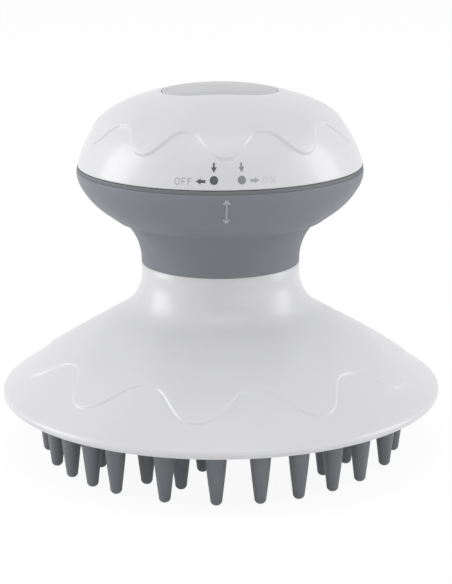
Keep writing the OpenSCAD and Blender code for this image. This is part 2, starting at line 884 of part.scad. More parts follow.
module cell_springs() {
    length = 2 * bay_x - cell_len - 2 * (strip_t + 0.1) - 0.3;
    line = coil_line(length, 2.5);
    color("silver")
        for (turn = [0, 180])
            rotate([0, 0, turn])
                translate([-bay_x + strip_t + 0.2, -cell_y, cell_z])
                    swept_tube(line, spring_wire_d / 2, 6, [1, 0, 0]);
}

// Contact strip standing at the end of a bay, its face towards -X
module end_strip(w) {
    translate([bay_x - strip_t - 0.1, -w / 2, strip_z]) cube([strip_t, w, strip_h]);
}

module end_contacts() {
    color("gold")
        for (side = [-1, 1])
            translate([0, side * cell_y, 0]) {
                end_strip(strip_w);
                translate([bay_x - strip_t - 0.1, -tail_w / 2, tray_z - 1])
                    cube([strip_t, tail_w, tray_floor_t + 2 * past]);
            }
}

module bridge_contact() {
    color("gold") rotate([0, 0, 180]) end_strip(2 * cell_y + strip_w);
}

// Switch

module switch_block() {
    color("dimgray")
        translate([-block_w / 2, -block_far_y, floor_z])
            cube([block_w, block_far_y - block_near_y, block_top_z - floor_z]);
}

module switch_contacts() {
    color("gold")
        for (side = [-1, 1])
            translate([side * blade_x - blade_w / 2, 0, 0]) {
                translate([0, -blade_y, block_top_z])
                    cube([blade_w, blade_y - block_near_y + 1.6, blade_t]);
                translate([0, -blade_y, block_top_z])
                    cube([blade_w, blade_t, blade_top_z - block_top_z]);
                translate([0, -block_near_y + 0.2, blade_tail_z])
                    cube([blade_w, blade_t, block_top_z - blade_tail_z]);
            }
}

// Wires, each a smooth tube through a few places

// Middle height of a wire that lies between the bowl's floor and the tray
under_z = floor_z + wire_room;
// Height at which a wire meets the motor's terminal
joint_z = can_top_z + bell_t + 2.4;
tail_x = bay_x - strip_t - 0.1 - wire_d / 2 - 0.1;
blade_back_y = block_near_y - 0.8 - wire_d / 2;

plus_route = [[tail_x, -cell_y, tray_z - 0.6], [22, -8.5, under_z], [15, -13.5, under_z],
    [8, -15.5, under_z], [blade_x, -blade_back_y, under_z + 0.5]];
switched_route = [[-blade_x, -blade_back_y, under_z + 0.5], [-3.7, -9.5, under_z],
    [-3.9, -6, under_z - 0.1], [-4.4, -3.2, floor_z - 2], [-4.6, 0, joint_z]];
return_route = [[tail_x, cell_y, tray_z - 0.6], [18, 6.5, under_z], [10, 5, under_z],
    [6.2, 3, under_z - 0.1], [5, 2, floor_z - 2], [4.6, 0, joint_z]];

module wire(route, side) swept_tube(smooth(route, 3), wire_d / 2, 8, side);

module wire_plus() color("red") wire(plus_route, [0, 0, 1]);

module wire_switched() color("orange") wire(switched_route, [1, 0, 0]);

module wire_return() color("black") wire(return_route, [0.3, -1, 0.1]);

top_cap();
badge_plate();
switch_ring();
ring_wiper();
seam_seal();
grip_bowl();
neck_sleeve();
skirt_shell();
base_plate();
finger_retainer();
fingers_outer();
fingers_middle();
fingers_inner();
base_screws();
neck_screws();
battery_tray();
tray_screws();
battery_cells();
cell_springs();
end_contacts();
bridge_contact();
switch_block();
switch_contacts();
motor_can();
motor_end_bell();
motor_terminals();
shaft_bush();
motor_shaft();
eccentric_weight();
motor_mount();
motor_cushion();
motor_clamp();
clamp_screws();
mount_screws();
wire_plus();
wire_switched();
wire_return();
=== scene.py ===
# %% [markdown]
# # Looks of a battery scalp massager
#
# The object is a palm-sized massager: a white domed cap, a blue-grey grip bowl on a soft sleeve,
# a wide white skirt and fifty soft fingers under it. Its solid parts come in already packed, in
# metres and in place. This lesson dresses them: the curved skins that catch the light are made
# again here as fine, evenly spaced meshes, and the small inner parts keep their own shapes and
# get finishes.

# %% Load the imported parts
import math

import bmesh
import bpy
import numpy as np
from mathutils import Matrix, Vector


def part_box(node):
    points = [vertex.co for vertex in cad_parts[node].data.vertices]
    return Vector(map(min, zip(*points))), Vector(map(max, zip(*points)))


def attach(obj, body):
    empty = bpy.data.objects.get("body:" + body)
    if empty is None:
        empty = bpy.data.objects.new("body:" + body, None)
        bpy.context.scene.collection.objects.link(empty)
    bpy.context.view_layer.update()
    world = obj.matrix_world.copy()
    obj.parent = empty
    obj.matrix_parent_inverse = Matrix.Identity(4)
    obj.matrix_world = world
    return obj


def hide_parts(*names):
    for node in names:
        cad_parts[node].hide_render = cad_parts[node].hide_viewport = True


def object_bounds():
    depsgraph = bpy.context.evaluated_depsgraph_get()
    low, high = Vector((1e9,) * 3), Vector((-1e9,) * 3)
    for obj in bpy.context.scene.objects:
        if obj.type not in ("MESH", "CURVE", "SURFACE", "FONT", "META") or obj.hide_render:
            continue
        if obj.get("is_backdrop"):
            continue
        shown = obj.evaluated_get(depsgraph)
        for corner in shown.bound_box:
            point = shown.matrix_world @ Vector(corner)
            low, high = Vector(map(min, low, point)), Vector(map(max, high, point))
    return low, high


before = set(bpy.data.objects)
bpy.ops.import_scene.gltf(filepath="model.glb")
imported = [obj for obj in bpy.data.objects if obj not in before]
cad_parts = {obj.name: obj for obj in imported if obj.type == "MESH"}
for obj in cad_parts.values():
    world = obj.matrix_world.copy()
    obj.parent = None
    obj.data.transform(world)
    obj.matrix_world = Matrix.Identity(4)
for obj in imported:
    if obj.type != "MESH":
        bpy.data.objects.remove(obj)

MM = 0.001
box_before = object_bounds()
print(len(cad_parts), "parts, box in mm:",
      [round((high - low) / MM, 1) for low, high in zip(*box_before)])

# %% [markdown]
# ## The camera
#
# The picture was taken with a long lens from about four body widths away, a little above the
# object, so that the top of the dome just shows. The camera is set first, because the size of
# every detail is judged through it. Three turns put it in place: the heading, the tilt down and
# a trace of roll.

# %% Set the camera
CAMERA_MM = Vector((-17.9, -426.8, 151.3))
HEADING, TILT, ROLL = -2.58, -14.68, -0.21
SENSOR_MM, LENS_MM = 36, 109.4


def put(name, data):
    """A new object in the scene."""
    made = bpy.data.objects.new(name, data)
    bpy.context.scene.collection.objects.link(made)
    return made


camera_data = bpy.data.cameras.new("camera")
camera_data.sensor_width = SENSOR_MM
camera_data.lens = LENS_MM
camera_data.clip_start = 0.02
camera_data.clip_end = 30
camera = put("camera", camera_data)
camera.matrix_world = (
    Matrix.Translation(CAMERA_MM * MM)
    @ Matrix.Rotation(math.radians(HEADING), 4, "Z")
    @ Matrix.Rotation(math.radians(90 + TILT), 4, "X")
    @ Matrix.Rotation(math.radians(ROLL), 4, "Z"))
bpy.context.scene.camera = camera
bpy.context.scene.view_settings.view_transform = "Standard"
print("camera", [round(c, 3) for c in camera.matrix_world.translation])

# %% [markdown]
# ## Outlines
#
# Every big piece is turned about one upright axis, so its shape is one outline: a list of points,
# each a radius and a height in millimetres. The outlines here are arcs that meet without a kink,
# as in the solid parts, but with many more steps, because a glossy skin shows every facet.
# A bend is one such arc. Its angles are those of the outward normal, 0 out and 90 up, and a hollow
# bend has a negative radius.

# %% Draw bends and join them
def cosd(angle):
    return math.cos(math.radians(angle))


def sind(angle):
    return math.sin(math.radians(angle))


def bend(centre, radius, start, end, inset=0.0, steps=48):
    angles = np.radians(np.linspace(start, end, steps + 1))
    return np.column_stack([centre[0] + (radius - inset) * np.cos(angles),
                            centre[1] + (radius - inset) * np.sin(angles)])


def joined(*lines):
    points = np.vstack([np.atleast_2d(np.asarray(line, float)) for line in lines])
    apart = np.linalg.norm(np.diff(points, axis=0), axis=1) > 1e-5
    return points[np.concatenate([[True], apart])]


# %% [markdown]
# A moulded edge is never knife sharp. Rather than bevel each mesh, the outline itself is rounded:
# at each corner the line is cut back by a small length and a short curve is put in its place.
# Spinning the rounded outline then gives a clean edge all the way round.

# %% Round the corners of an outline
def soften(points, radius, corner_angle=25.0, steps=4):
    points = joined(points)
    if np.linalg.norm(points[0] - points[-1]) < 1e-5:
        points = points[:-1]
    onward = np.roll(points, -1, axis=0) - points
    reach = np.concatenate([[0], np.cumsum(np.linalg.norm(onward, axis=1))])
    loop = np.vstack([points, points[:1]])
    total = reach[-1]

    def on_line(s):
        return np.array([np.interp(s % total, reach, loop[:, k]) for k in (0, 1)])

    course = np.arctan2(onward[:, 1], onward[:, 0])
    turn = np.abs((course - np.roll(course, 1) + np.pi) % (2 * np.pi) - np.pi)
    corners = [i for i in range(len(points))
               if turn[i] > math.radians(corner_angle) and points[i][0] > 1e-6]
    cut = {}
    for n, i in enumerate(corners):
        before = (reach[i] - reach[corners[n - 1]]) % total or total
        after = (reach[corners[(n + 1) % len(corners)]] - reach[i]) % total or total
        cut[i] = min(radius * math.tan(turn[i] / 2), 0.45 * before, 0.45 * after)
    made = []
    for i, point in enumerate(points):
        if i in cut:
            a, b = on_line(reach[i] - cut[i]), on_line(reach[i] + cut[i])
            for t in np.linspace(0, 1, steps + 1):
                made.append((1 - t) ** 2 * a + 2 * t * (1 - t) * point + t * t * b)
        elif all(min((reach[i] - reach[c]) % total, (reach[c] - reach[i]) % total) > 1.02 * cut[c]
                 for c in cut):
            made.append(point)
    return np.array(made)


# %% [markdown]
# The sizes are those of the solid parts, so that each skin lies where its solid lies. They run
# from the rim of the skirt up to the crown of the cap.

# %% Sizes of the skirt, neck and sleeve
BASE_R, SKIRT_WALL, RIM_ROUND, FLANK_BEND = 54.5, 2.4, 1.2, 380.0
FINGER_LEN, PLATE_TOP_Z, PLATE_SEAT_R, PLATE_LEDGE_R = 14.7, 17.0, 49.1, 47.1
NECK_R, NECK_BEND, NECK_TURN = 19.5, 11.5, 59.842
NECK_STRAIGHT, SPIGOT_R, SPIGOT_IN_R = 2.4, 17.3, 15.1
SLEEVE_BEND, SLEEVE_H, SLEEVE_STRAIGHT, SLEEVE_GAP = 13.8, 11.2, 0.6, 0.3

rim_c = np.array([BASE_R - RIM_ROUND, FINGER_LEN + RIM_ROUND])
hollow_x = NECK_R + NECK_BEND
flank_x = hollow_x - (NECK_BEND + FLANK_BEND) * cosd(NECK_TURN)
rim_turn = math.degrees(math.acos((rim_c[0] - flank_x) / (FLANK_BEND - RIM_ROUND)))
flank_c = np.array([flank_x, rim_c[1] - (FLANK_BEND - RIM_ROUND) * sind(rim_turn)])
hollow_c = np.array([hollow_x, flank_c[1] + (FLANK_BEND + NECK_BEND) * sind(NECK_TURN)])
neck_z = hollow_c[1] + NECK_STRAIGHT
bowl_z = neck_z + SLEEVE_H
sleeve_c = np.array([NECK_R + SLEEVE_BEND, neck_z + SLEEVE_STRAIGHT])
sleeve_turn = math.degrees(math.asin((bowl_z - sleeve_c[1]) / SLEEVE_BEND))
print("neck at", round(neck_z, 2), "bowl at", round(bowl_z, 2))

# %% Sizes of the bowl and the cap
GRIP_R, BOWL_WALL, BOWL_FOOT_R, BOWL_SLOPE = 35.0, 2.4, 25.6, 36.0
SIDE_BEND, RIM_BEND, BOWL_MEET = 18.0, 7.0, 28.0
LEDGE_R, LEDGE_T, LEDGE_DROP, RING_SEAT_R, WIRE_HOLE_R = 28.8, 1.2, 3.6, 32.3, 7.5
LIP_STRAIGHT, SEAM_H = 0.3, 1.0
CAP_WALL, CROWN_BEND, SHOULDER_BEND = 2.2, 66.0, 21.4
SHOULDER_OVER, SHOULDER_DROP = 0.15, 4.2
TONGUE_IN_R, TONGUE_OUT_R, TONGUE_HALF_ANGLE = 29.2, 30.9, 10
THIRDS = (60, 180, 300)

rim_x = GRIP_R - RIM_BEND
side_x = rim_x - (SIDE_BEND - RIM_BEND) * cosd(BOWL_MEET)
slope_x = side_x + SIDE_BEND * cosd(90 - BOWL_SLOPE)
slope_z = bowl_z + (slope_x - BOWL_FOOT_R) * math.tan(math.radians(BOWL_SLOPE))
side_c = np.array([side_x, slope_z + SIDE_BEND * sind(90 - BOWL_SLOPE)])
bowl_rim_c = np.array([rim_x, side_c[1] - (SIDE_BEND - RIM_BEND) * sind(BOWL_MEET)])
floor_z = bowl_z + BOWL_WALL
lip_z = bowl_rim_c[1] + LIP_STRAIGHT
edge_z = lip_z + SEAM_H
ledge_z = lip_z - LEDGE_DROP

shoulder_c = np.array([GRIP_R + SHOULDER_OVER - SHOULDER_BEND, edge_z - SHOULDER_DROP])
crown_fall = math.sqrt((CROWN_BEND - SHOULDER_BEND) ** 2 - shoulder_c[0] ** 2)
crown_c = np.array([0.0, shoulder_c[1] - crown_fall])
crown_turn = math.degrees(math.atan2(crown_fall, shoulder_c[0]))
edge_turn = math.degrees(math.asin((edge_z - shoulder_c[1]) / SHOULDER_BEND))
top_z = crown_c[1] + CROWN_BEND
print("lip", round(lip_z, 2), "edge", round(edge_z, 2), "top", round(top_z, 2))

# %% [markdown]
# ## From an outline to a mesh
#
# A turned piece is a stack of rings. Each ring has the same number of points, and faces join it
# to the next. Blender's Screw modifier would spin an outline too, but rings made in code can be
# moved point by point, which the wavy step needs. A mesh is kept as points and faces, so that
# several can be put together before they become one piece.

# %% Rings, stacks and pieces
def angles_of(count):
    return np.arange(count) * 2 * math.pi / count


def ring_points(radius, height, count):
    """Points of rings; angle 0 is the front, -Y, and the angle grows towards +X."""
    a = angles_of(count)
    radius, height = np.broadcast_arrays(np.asarray(radius, float), np.asarray(height, float))
    return np.stack([radius * np.sin(a), -radius * np.cos(a), height + 0 * a], axis=-1)


def stacked(rings, closed):
    count, around = rings.shape[:2]
    k = np.arange(count if closed else count - 1)[:, None]
    j = np.arange(around)[None, :]
    here, above = k * around, (k + 1) % count * around
    faces = np.stack([here + j, here + (j + 1) % around,
                      above + (j + 1) % around, above + j], axis=-1)
    return rings.reshape(-1, 3), [tuple(f) for f in faces.reshape(-1, 4).tolist()]


def turned(line, count=256, closed=True):
    line = np.asarray(line)
    return stacked(ring_points(line[:, :1], line[:, 1:], count), closed)


def together(*parts):
    points, faces, first = [], [], 0
    for part_points, part_faces in parts:
        points.append(part_points)
        faces += [tuple(i + first for i in face) for face in part_faces]
        first += len(part_points)
    return np.vstack(points), faces


def moved(part, matrix):
    points, faces = part
    turn, shift = np.array(matrix.to_3x3()), np.array(matrix.translation)
    return points @ turn.T + shift, faces


def piece(name, part, body, *nodes, slot=None):
    """A smooth mesh that rides on a body and stands for the named solid parts."""
    points, faces = part
    mesh = bpy.data.meshes.new(name)
    mesh.from_pydata((points * MM).tolist(), [], faces)
    bm = bmesh.new()
    bm.from_mesh(mesh)
    bmesh.ops.remove_doubles(bm, verts=bm.verts, dist=1e-7)
    bmesh.ops.recalc_face_normals(bm, faces=bm.faces)
    bm.to_mesh(mesh)
    bm.free()
    mesh.shade_smooth()
    made = put(name, mesh)
    made.modifiers.new("even shading", "WEIGHTED_NORMAL").weight = 60
    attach(made, body)
    if nodes:
        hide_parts(*nodes)
    print(name, len(mesh.vertices), "points")
    return made


# %% [markdown]
# ## The wavy step
#
# A fine step runs round the dome and another round the skirt, each in ten even waves, as if a
# second layer of icing ended there. Above the wave the skin stands a little proud, and it falls
# back in a small rounded face that looks down. Where that face turns to a lamp it is bright, and
# where it turns to the front it is dark, so the line comes and goes. It could be a bump in the
# material, but then it would vanish in the exported mesh. It could be pressed into a regular
# grid, but a slanting edge on square cells is saw-toothed. Here the rings themselves bend along
# the wave, so the step follows the grid. Further up the rings ease back to level. A plain sine is
# too pointed for it, so two small overtones make its crests broader and its turns rounder.

# %% Walk an outline and bend rings along a wave
AROUND = 720
WAVES, BROADER, ROUNDER = 10, 0.065, 0.05
DOME_WAVE = {"middle": 81.45, "swing": 2.72, "crest": 17.7, "half_width": 0.34, "rise": 0.52,
             "rows": 26}
SKIRT_WAVE = {"middle": 23.85, "swing": 2.82, "crest": 8.7, "half_width": 0.28, "rise": 0.34,
              "rows": 22}


def walk(line):
    """Lengths along an outline and its outward normals, for a line that runs down and out."""
    reach = np.concatenate([[0], np.cumsum(np.linalg.norm(np.diff(line, axis=0), axis=1))])
    along = np.gradient(line, reach, axis=0)
    along /= np.linalg.norm(along, axis=1)[:, None]
    return reach, np.column_stack([-along[:, 1], along[:, 0]])


def skin_rings(line, s, depth):
    """Rings at lengths s along the outline, sunk by depth; both have one row per ring."""
    reach, out = walk(line)
    s, depth = np.broadcast_arrays(s, depth)
    r, z, nr, nz = (np.interp(s, reach, column)
                    for column in (line[:, 0], line[:, 1], out[:, 0], out[:, 1]))
    return ring_points(r - depth * nr, z - depth * nz, s.shape[1])


def waved_rings(line, start_s, end_s, middle, swing, crest, half_width, rise, rows):
    """Rings between two lengths, bent along a wave about a middle height, with the step on it."""
    a = angles_of(AROUND)
    reach, _ = walk(line)
    turn = WAVES * (a - math.radians(crest))
    height = middle + swing * (np.cos(turn) - BROADER * np.cos(2 * turn)
                               - ROUNDER * np.cos(3 * turn))
    wave_s = np.interp(-height, -line[:, 1], reach)
    radius = np.interp(wave_s, reach, line[:, 0])
    slope = (np.roll(wave_s, -1) - np.roll(wave_s, 1)) / (2 * radius * (a[1] - a[0]))
    half = half_width * np.sqrt(1 + slope ** 2)
    across = np.linspace(-1, 1, 13)[:, None]
    above = np.linspace(0, 1, rows)[:-1, None]
    below = np.linspace(0, 1, rows)[1:, None]
    s = np.vstack([start_s + (wave_s - half - start_s) * above,
                   wave_s + half * across,
                   wave_s + half + (end_s - wave_s - half) * below])
    proud = np.vstack([rise * above ** 2 * (3 - 2 * above) + 0 * a,
                       rise * (1 - np.sin(across * math.pi / 2)) / 2 + 0 * a,
                       0 * below + 0 * a])
    return skin_rings(line, s, -proud)


# %% [markdown]
# ## The cap
#
# The cap is the white dome that the palm holds. Its top has a flat-sided oval recess for the
# badge. The rings start as small copies of that oval, step up its wall, and change over to
# circles before the wave. Inside, the wall follows the dome at an even thickness, and a collar
# with three tongues hangs from it: the tongues turn the switch ring.

# %% The badge's oval seen from above
BADGE_W, BADGE_D, BADGE_CORNER, BADGE_T, BADGE_GAP = 28.0, 21.5, 10.0, 0.8, 0.15


def oval_reach(grow):
    """Distance from the axis to the oval's edge, for each angle."""
    a = angles_of(AROUND)
    way = np.abs(np.column_stack([np.sin(a), np.cos(a)])) + 1e-12
    half = np.array([BADGE_W, BADGE_D]) / 2 + grow
    corner_r = BADGE_CORNER + grow
    corner = half - corner_r
    side, front = half[0] / way[:, 0], half[1] / way[:, 1]
    middle = way @ corner
    round_part = middle + np.sqrt(np.maximum(middle ** 2 - corner @ corner + corner_r ** 2, 0))
    reach = np.where(way[:, 0] * front <= corner[0], front, round_part)
    return np.where(way[:, 1] * side <= corner[1], side, reach)


def crown_ring(radius, depth):
    """A ring on the crown, sunk by a depth."""
    height = crown_c[1] + np.sqrt(CROWN_BEND ** 2 - radius ** 2)
    return ring_points(radius, height - depth, AROUND)


# %% The dome's skin, its inside and its tongues
OUTER_OVAL_R, RECESS_SPARE, RECESS_LIP, EDGE_TURN_IN = 20.0, 0.1, 0.14, 0.35
dome_line = joined(bend(crown_c, CROWN_BEND, 90, crown_turn, steps=900),
                   bend(shoulder_c, SHOULDER_BEND, crown_turn, edge_turn, steps=900))

oval = oval_reach(BADGE_GAP)
recess = BADGE_T + RECESS_SPARE
top_rings = [crown_ring(share * oval, recess) for share in (0, 0.3, 0.6, 0.9)]
top_rings += [crown_ring(oval + step, depth) for step, depth in (
    (-0.1, recess), (0, recess - 0.1), (0, RECESS_LIP), (0.04, 0.04), (RECESS_LIP, 0))]
top_rings += [crown_ring((oval + RECESS_LIP) * (1 - t) + OUTER_OVAL_R * t, 0)
              for t in np.linspace(0, 1, 9)[1:-1]]

dome_reach, _ = walk(dome_line)
start_s = np.interp(OUTER_OVAL_R, dome_line[:, 0], dome_reach)
end_s = dome_reach[-1] - EDGE_TURN_IN
dome_rings = waved_rings(dome_line, start_s, end_s, **DOME_WAVE)

inner_r = SHOULDER_BEND - CAP_WALL
edge_in_r = shoulder_c[0] + math.sqrt(inner_r ** 2 - (edge_z - shoulder_c[1]) ** 2)


def inner_angle(radius):
    return math.degrees(math.acos((radius - shoulder_c[0]) / inner_r))


edge_point = dome_line[-1]
under = joined(
    [edge_point + [-0.05, 0.16], edge_point + [-0.14, 0.04], edge_point + [-EDGE_TURN_IN, 0],
     [edge_in_r + 0.1, edge_z], [edge_in_r, edge_z + 0.1]],
    bend(shoulder_c, SHOULDER_BEND, inner_angle(edge_in_r) + 1.5, inner_angle(TONGUE_OUT_R),
         CAP_WALL, 12),
    [[TONGUE_OUT_R, edge_z + 0.15], [TONGUE_OUT_R - 0.15, edge_z], [TONGUE_IN_R + 0.15, edge_z],
     [TONGUE_IN_R, edge_z + 0.15]],
    bend(shoulder_c, SHOULDER_BEND, inner_angle(TONGUE_IN_R), crown_turn, CAP_WALL, 16),
    bend(crown_c, CROWN_BEND, crown_turn, 90, CAP_WALL, 16))
under[-1, 0] = 0
cap_rings = np.concatenate([np.array(top_rings), dome_rings,
                            ring_points(under[:, :1], under[:, 1:], AROUND)])


def sector(line, start, end, steps=12):
    """Part of a turned piece between two angles from the front, closed at both ends."""
    a = np.radians(np.linspace(start, end, steps + 1))[:, None]
    line = np.asarray(line)
    points = np.stack([line[:, 0] * np.sin(a), -line[:, 0] * np.cos(a), line[:, 1] + 0 * a], -1)
    n = len(line)
    faces = [(k * n + j, k * n + (j + 1) % n, (k + 1) * n + (j + 1) % n, (k + 1) * n + j)
             for k in range(steps) for j in range(n)]
    return points.reshape(-1, 3), faces + [tuple(range(n)), tuple(steps * n + j for j in range(n))]


tongue = soften([[TONGUE_IN_R, ledge_z + 0.3], [TONGUE_OUT_R, ledge_z + 0.3],
                 [TONGUE_OUT_R, edge_z + 1.5], [TONGUE_IN_R, edge_z + 1.5]], radius=0.3)
tongues = [sector(tongue, middle - TONGUE_HALF_ANGLE, middle + TONGUE_HALF_ANGLE)
           for middle in THIRDS]
cap_shell = piece("cap_shell", together(stacked(cap_rings, False), *tongues), "cap", "top_cap",
                  slot="white_shell")

# %% [markdown]
# ## The badge
#
# The oval badge lies flush in its recess. Its face is plain, with a fine line let in round its
# border. It is made of the same ovals as the recess, a little smaller, so that the joint between
# them is even.

# %% The badge plate
face_edge = oval_reach(0)
badge_rings = [crown_ring(share * face_edge, 0) for share in (0, 0.25, 0.5, 0.72)]
badge_rings += [crown_ring(face_edge + step, depth) for step, depth in (
    (-1.75, 0), (-1.6, 0.02), (-1.5, 0.1), (-1.35, 0.1), (-1.25, 0.02), (-1.1, 0), (-0.25, 0),
    (-0.1, 0.03), (-0.02, 0.11), (0, 0.2), (0, BADGE_T - 0.1), (-0.1, BADGE_T))]
badge_rings.append(crown_ring(0 * face_edge, BADGE_T))
badge = piece("badge_face", stacked(np.array(badge_rings), False), "cap", "badge_plate",
              slot="badge_grey")

# %% [markdown]
# ## The grip bowl and its sleeve
#
# The blue-grey bowl carries the cap, and the soft sleeve under it wraps the neck, so that two
# fingers can hold it. Both are single outlines, spun. The bowl's foot is a little wider than
# the sleeve's top, and that small step catches a thin line of light.

# %% Bowl and sleeve
SPUN = 512


def bowl_line(inset):
    return joined(bend(bowl_rim_c, RIM_BEND, 2, -BOWL_MEET, inset, 40),
                  bend(side_c, SIDE_BEND, -BOWL_MEET, BOWL_SLOPE - 90, inset, 60))


bowl_out, bowl_in = bowl_line(0), bowl_line(BOWL_WALL)
bowl_in = bowl_in[bowl_in[:, 1] < ledge_z - LEDGE_T][::-1]
floor_r = bowl_in[0][0] - (bowl_in[0][1] - floor_z) / math.tan(math.radians(BOWL_SLOPE))
ledge_in = [[bowl_in[-1][0], ledge_z - LEDGE_T], [LEDGE_R, ledge_z - LEDGE_T],
            [LEDGE_R, ledge_z], [RING_SEAT_R, ledge_z], [RING_SEAT_R, lip_z]]
bowl_profile = joined([[GRIP_R, lip_z]], bowl_out[1:], [[BOWL_FOOT_R, bowl_z],
                      [WIRE_HOLE_R, bowl_z], [WIRE_HOLE_R, floor_z], [floor_r, floor_z]],
                      bowl_in, ledge_in)
bowl = piece("bowl_shell", turned(soften(bowl_profile, radius=0.3), SPUN), "base", "grip_bowl",
             slot="grey_shell")

sleeve_profile = joined([[SPIGOT_R + SLEEVE_GAP, bowl_z]],
                        bend(sleeve_c, -SLEEVE_BEND, -sleeve_turn, 0),
                        [[NECK_R, neck_z], [SPIGOT_R + SLEEVE_GAP, neck_z]])
sleeve = piece("sleeve_skin", turned(soften(sleeve_profile, radius=0.25), SPUN), "base",
               "neck_sleeve", slot="grey_sleeve")

SEAL_IN_R, SEAL_OUT_R, SEAL_H = 31.3, 34.85, 0.9
seal_profile = [[SEAL_IN_R, lip_z], [SEAL_OUT_R, lip_z], [SEAL_OUT_R, lip_z + SEAL_H],
                [SEAL_IN_R, lip_z + SEAL_H]]
seal = piece("seam_ring", turned(soften(seal_profile, radius=0.12), SPUN), "base", "seam_seal",
             slot="seal_rubber")

# %% [markdown]
# ## The skirt
#
# The skirt is the widest skin, and the eye finds any wobble on it. Its outer face is made of
# rings that bend along the lower wave. Under the rim the outline turns in, steps up round the
# base plate and runs back up the inside to the spigot that the bowl sits on. Seven posts inside
# take screws.

# %% Skirt shell with its posts
def skirt_line(inset):
    return joined(bend(hollow_c, -NECK_BEND, 0, NECK_TURN, inset, 200),
                  bend(flank_c, FLANK_BEND, NECK_TURN, rim_turn, inset, 700))


EASE_FROM_Z, EASE_TO_Z, RING_STEP = 32, rim_c[1] + 1.5, 0.8
flank = joined(skirt_line(0), bend(rim_c, RIM_ROUND, rim_turn, -90, 0, 60))
flank_reach, _ = walk(flank)
wave_end = flank_reach[int(np.searchsorted(-flank[:, 1], -EASE_TO_Z))]
neck_rows = np.linspace(0, np.interp(-EASE_FROM_Z, -flank[:, 1], flank_reach), 30)[:-1, None]
upper = skin_rings(flank, neck_rows + np.zeros(AROUND), 0.0)
waved = waved_rings(flank, neck_rows[-1, 0] + RING_STEP, wave_end, **SKIRT_WAVE)
rim_s = np.linspace(wave_end, flank_reach[-1], 26)[1:, None]
rim_rings = skin_rings(flank, rim_s + np.zeros(AROUND), 0.0)

inside = skirt_line(SKIRT_WALL)
inside = inside[inside[:, 0] < PLATE_LEDGE_R][::12][::-1]
back = joined([[PLATE_SEAT_R, FINGER_LEN], [PLATE_SEAT_R, PLATE_TOP_Z],
               [PLATE_LEDGE_R, PLATE_TOP_Z], [PLATE_LEDGE_R, inside[0][1] - 0.2]],
              inside[inside[:, 0] > SPIGOT_IN_R + 3],
              [[SPIGOT_IN_R, hollow_c[1] - 6], [SPIGOT_IN_R, bowl_z], [SPIGOT_R, bowl_z],
               [SPIGOT_R, neck_z], [NECK_R - 0.15, neck_z], [NECK_R, neck_z - 0.15]])
back_rings = ring_points(back[:, :1], back[:, 1:], AROUND)
skirt_part = stacked(np.concatenate([upper, waved, rim_rings, back_rings]), True)


def upright(radius, angle):
    """Moves a part from the axis to a place round it, seen from the front."""
    return Matrix.Translation((radius * sind(angle), -radius * cosd(angle), 0))


def post(radius, bore, low, high):
    profile = [[bore, low], [radius, low], [radius, high], [bore, high]]
    return turned(soften(profile, radius=0.2), count=48)


BASE_SCREW_RING, BASE_SCREW_ANGLES, NECK_SCREW_RING = 28.1, (12, 133, 192, 313), 12.5
POST_R, POST_BORE_R, POST_FOOT_Z, NECK_POST_H = 2.7, 1.35, 19.9, 7.6
post_top = flank_c[1] + math.sqrt((FLANK_BEND - SKIRT_WALL / 2) ** 2
                                  - (BASE_SCREW_RING + POST_R - flank_c[0]) ** 2)
posts = [moved(post(POST_R, POST_BORE_R, low, high), upright(ring, a))
         for ring, places, low, high in (
             (BASE_SCREW_RING, BASE_SCREW_ANGLES, POST_FOOT_Z, post_top),
             (NECK_SCREW_RING, THIRDS, bowl_z - NECK_POST_H, bowl_z))
         for a in places]
skirt = piece("skirt_skin", together(skirt_part, *posts), "base", "skirt_shell",
              slot="white_shell")

# %% [markdown]
# ## The soft fingers
#
# Fifty silicone fingers touch the scalp. Each is a slim cone with a round end and a flange that
# is trapped over the base plate. One outline is spun and the copies are put where the solid
# parts have them: one close outer ring, looser rings inside, and every place repeated half a
# turn on. The sides swell by a tenth of a millimetre, as soft mouldings do, and the end is a full
# round with only a small flat, so that a thin light line runs down to the tip.

# %% Fingers in their rings
FINGER_RINGS = {
    "outer": [(43.5, (-70, -58, -47, -37, -20, -4, 9.5, 22, 34.5, 47, 64, 79, 94.5))],
    "middle": [(34.4, (-61, -33.5, -18.5, 43, 60, 77, 95))],
    "inner": [(21.8, (-14.5, 62, 108)), (9.0, (-45, 45))]}
TIP_R, TIP_FLAT_R, TIP_ROUND, TIP_H, ROOT_R, PLATE_Z = 1.42, 0.15, 1.27, 1.4, 2.8, 15.0
FLANGE_R, FLANGE_T, SWELL = 3.25, 1.2, 0.1

side_t = np.linspace(0, 1, 14)
finger_side = np.column_stack([
    TIP_R + (ROOT_R - TIP_R) * side_t + SWELL * np.sin(math.pi * side_t),
    TIP_H + (PLATE_Z - TIP_H) * side_t])
flange_top = PLATE_TOP_Z + FLANGE_T
finger_profile = joined(
    [[0, 0], [0.1, 0]], bend((TIP_FLAT_R, TIP_ROUND), TIP_ROUND, -88, -6, 0, 14), finger_side,
    [[ROOT_R, PLATE_TOP_Z], [FLANGE_R - 0.1, PLATE_TOP_Z], [FLANGE_R, PLATE_TOP_Z + 0.1],
     [FLANGE_R, flange_top - 0.1], [FLANGE_R - 0.1, flange_top], [0, flange_top]])
finger = turned(finger_profile, 40, closed=False)
fingers = []
for ring_name, rings in FINGER_RINGS.items():
    copies = [moved(finger, upright(radius, a + half))
              for radius, places in rings for a in places for half in (0, 180)]
    fingers.append(piece(f"{ring_name}_finger_set", together(*copies), "base",
                         f"fingers_{ring_name}", slot="finger_silicone"))

# %% [markdown]
# ## Screws
#
# A screw head is only real with its recess. The head and thread are turned, and a cross is cut
# into the head with the Boolean modifier, which works well on such small closed meshes. Heads
# point down under the base and up inside the bowl.

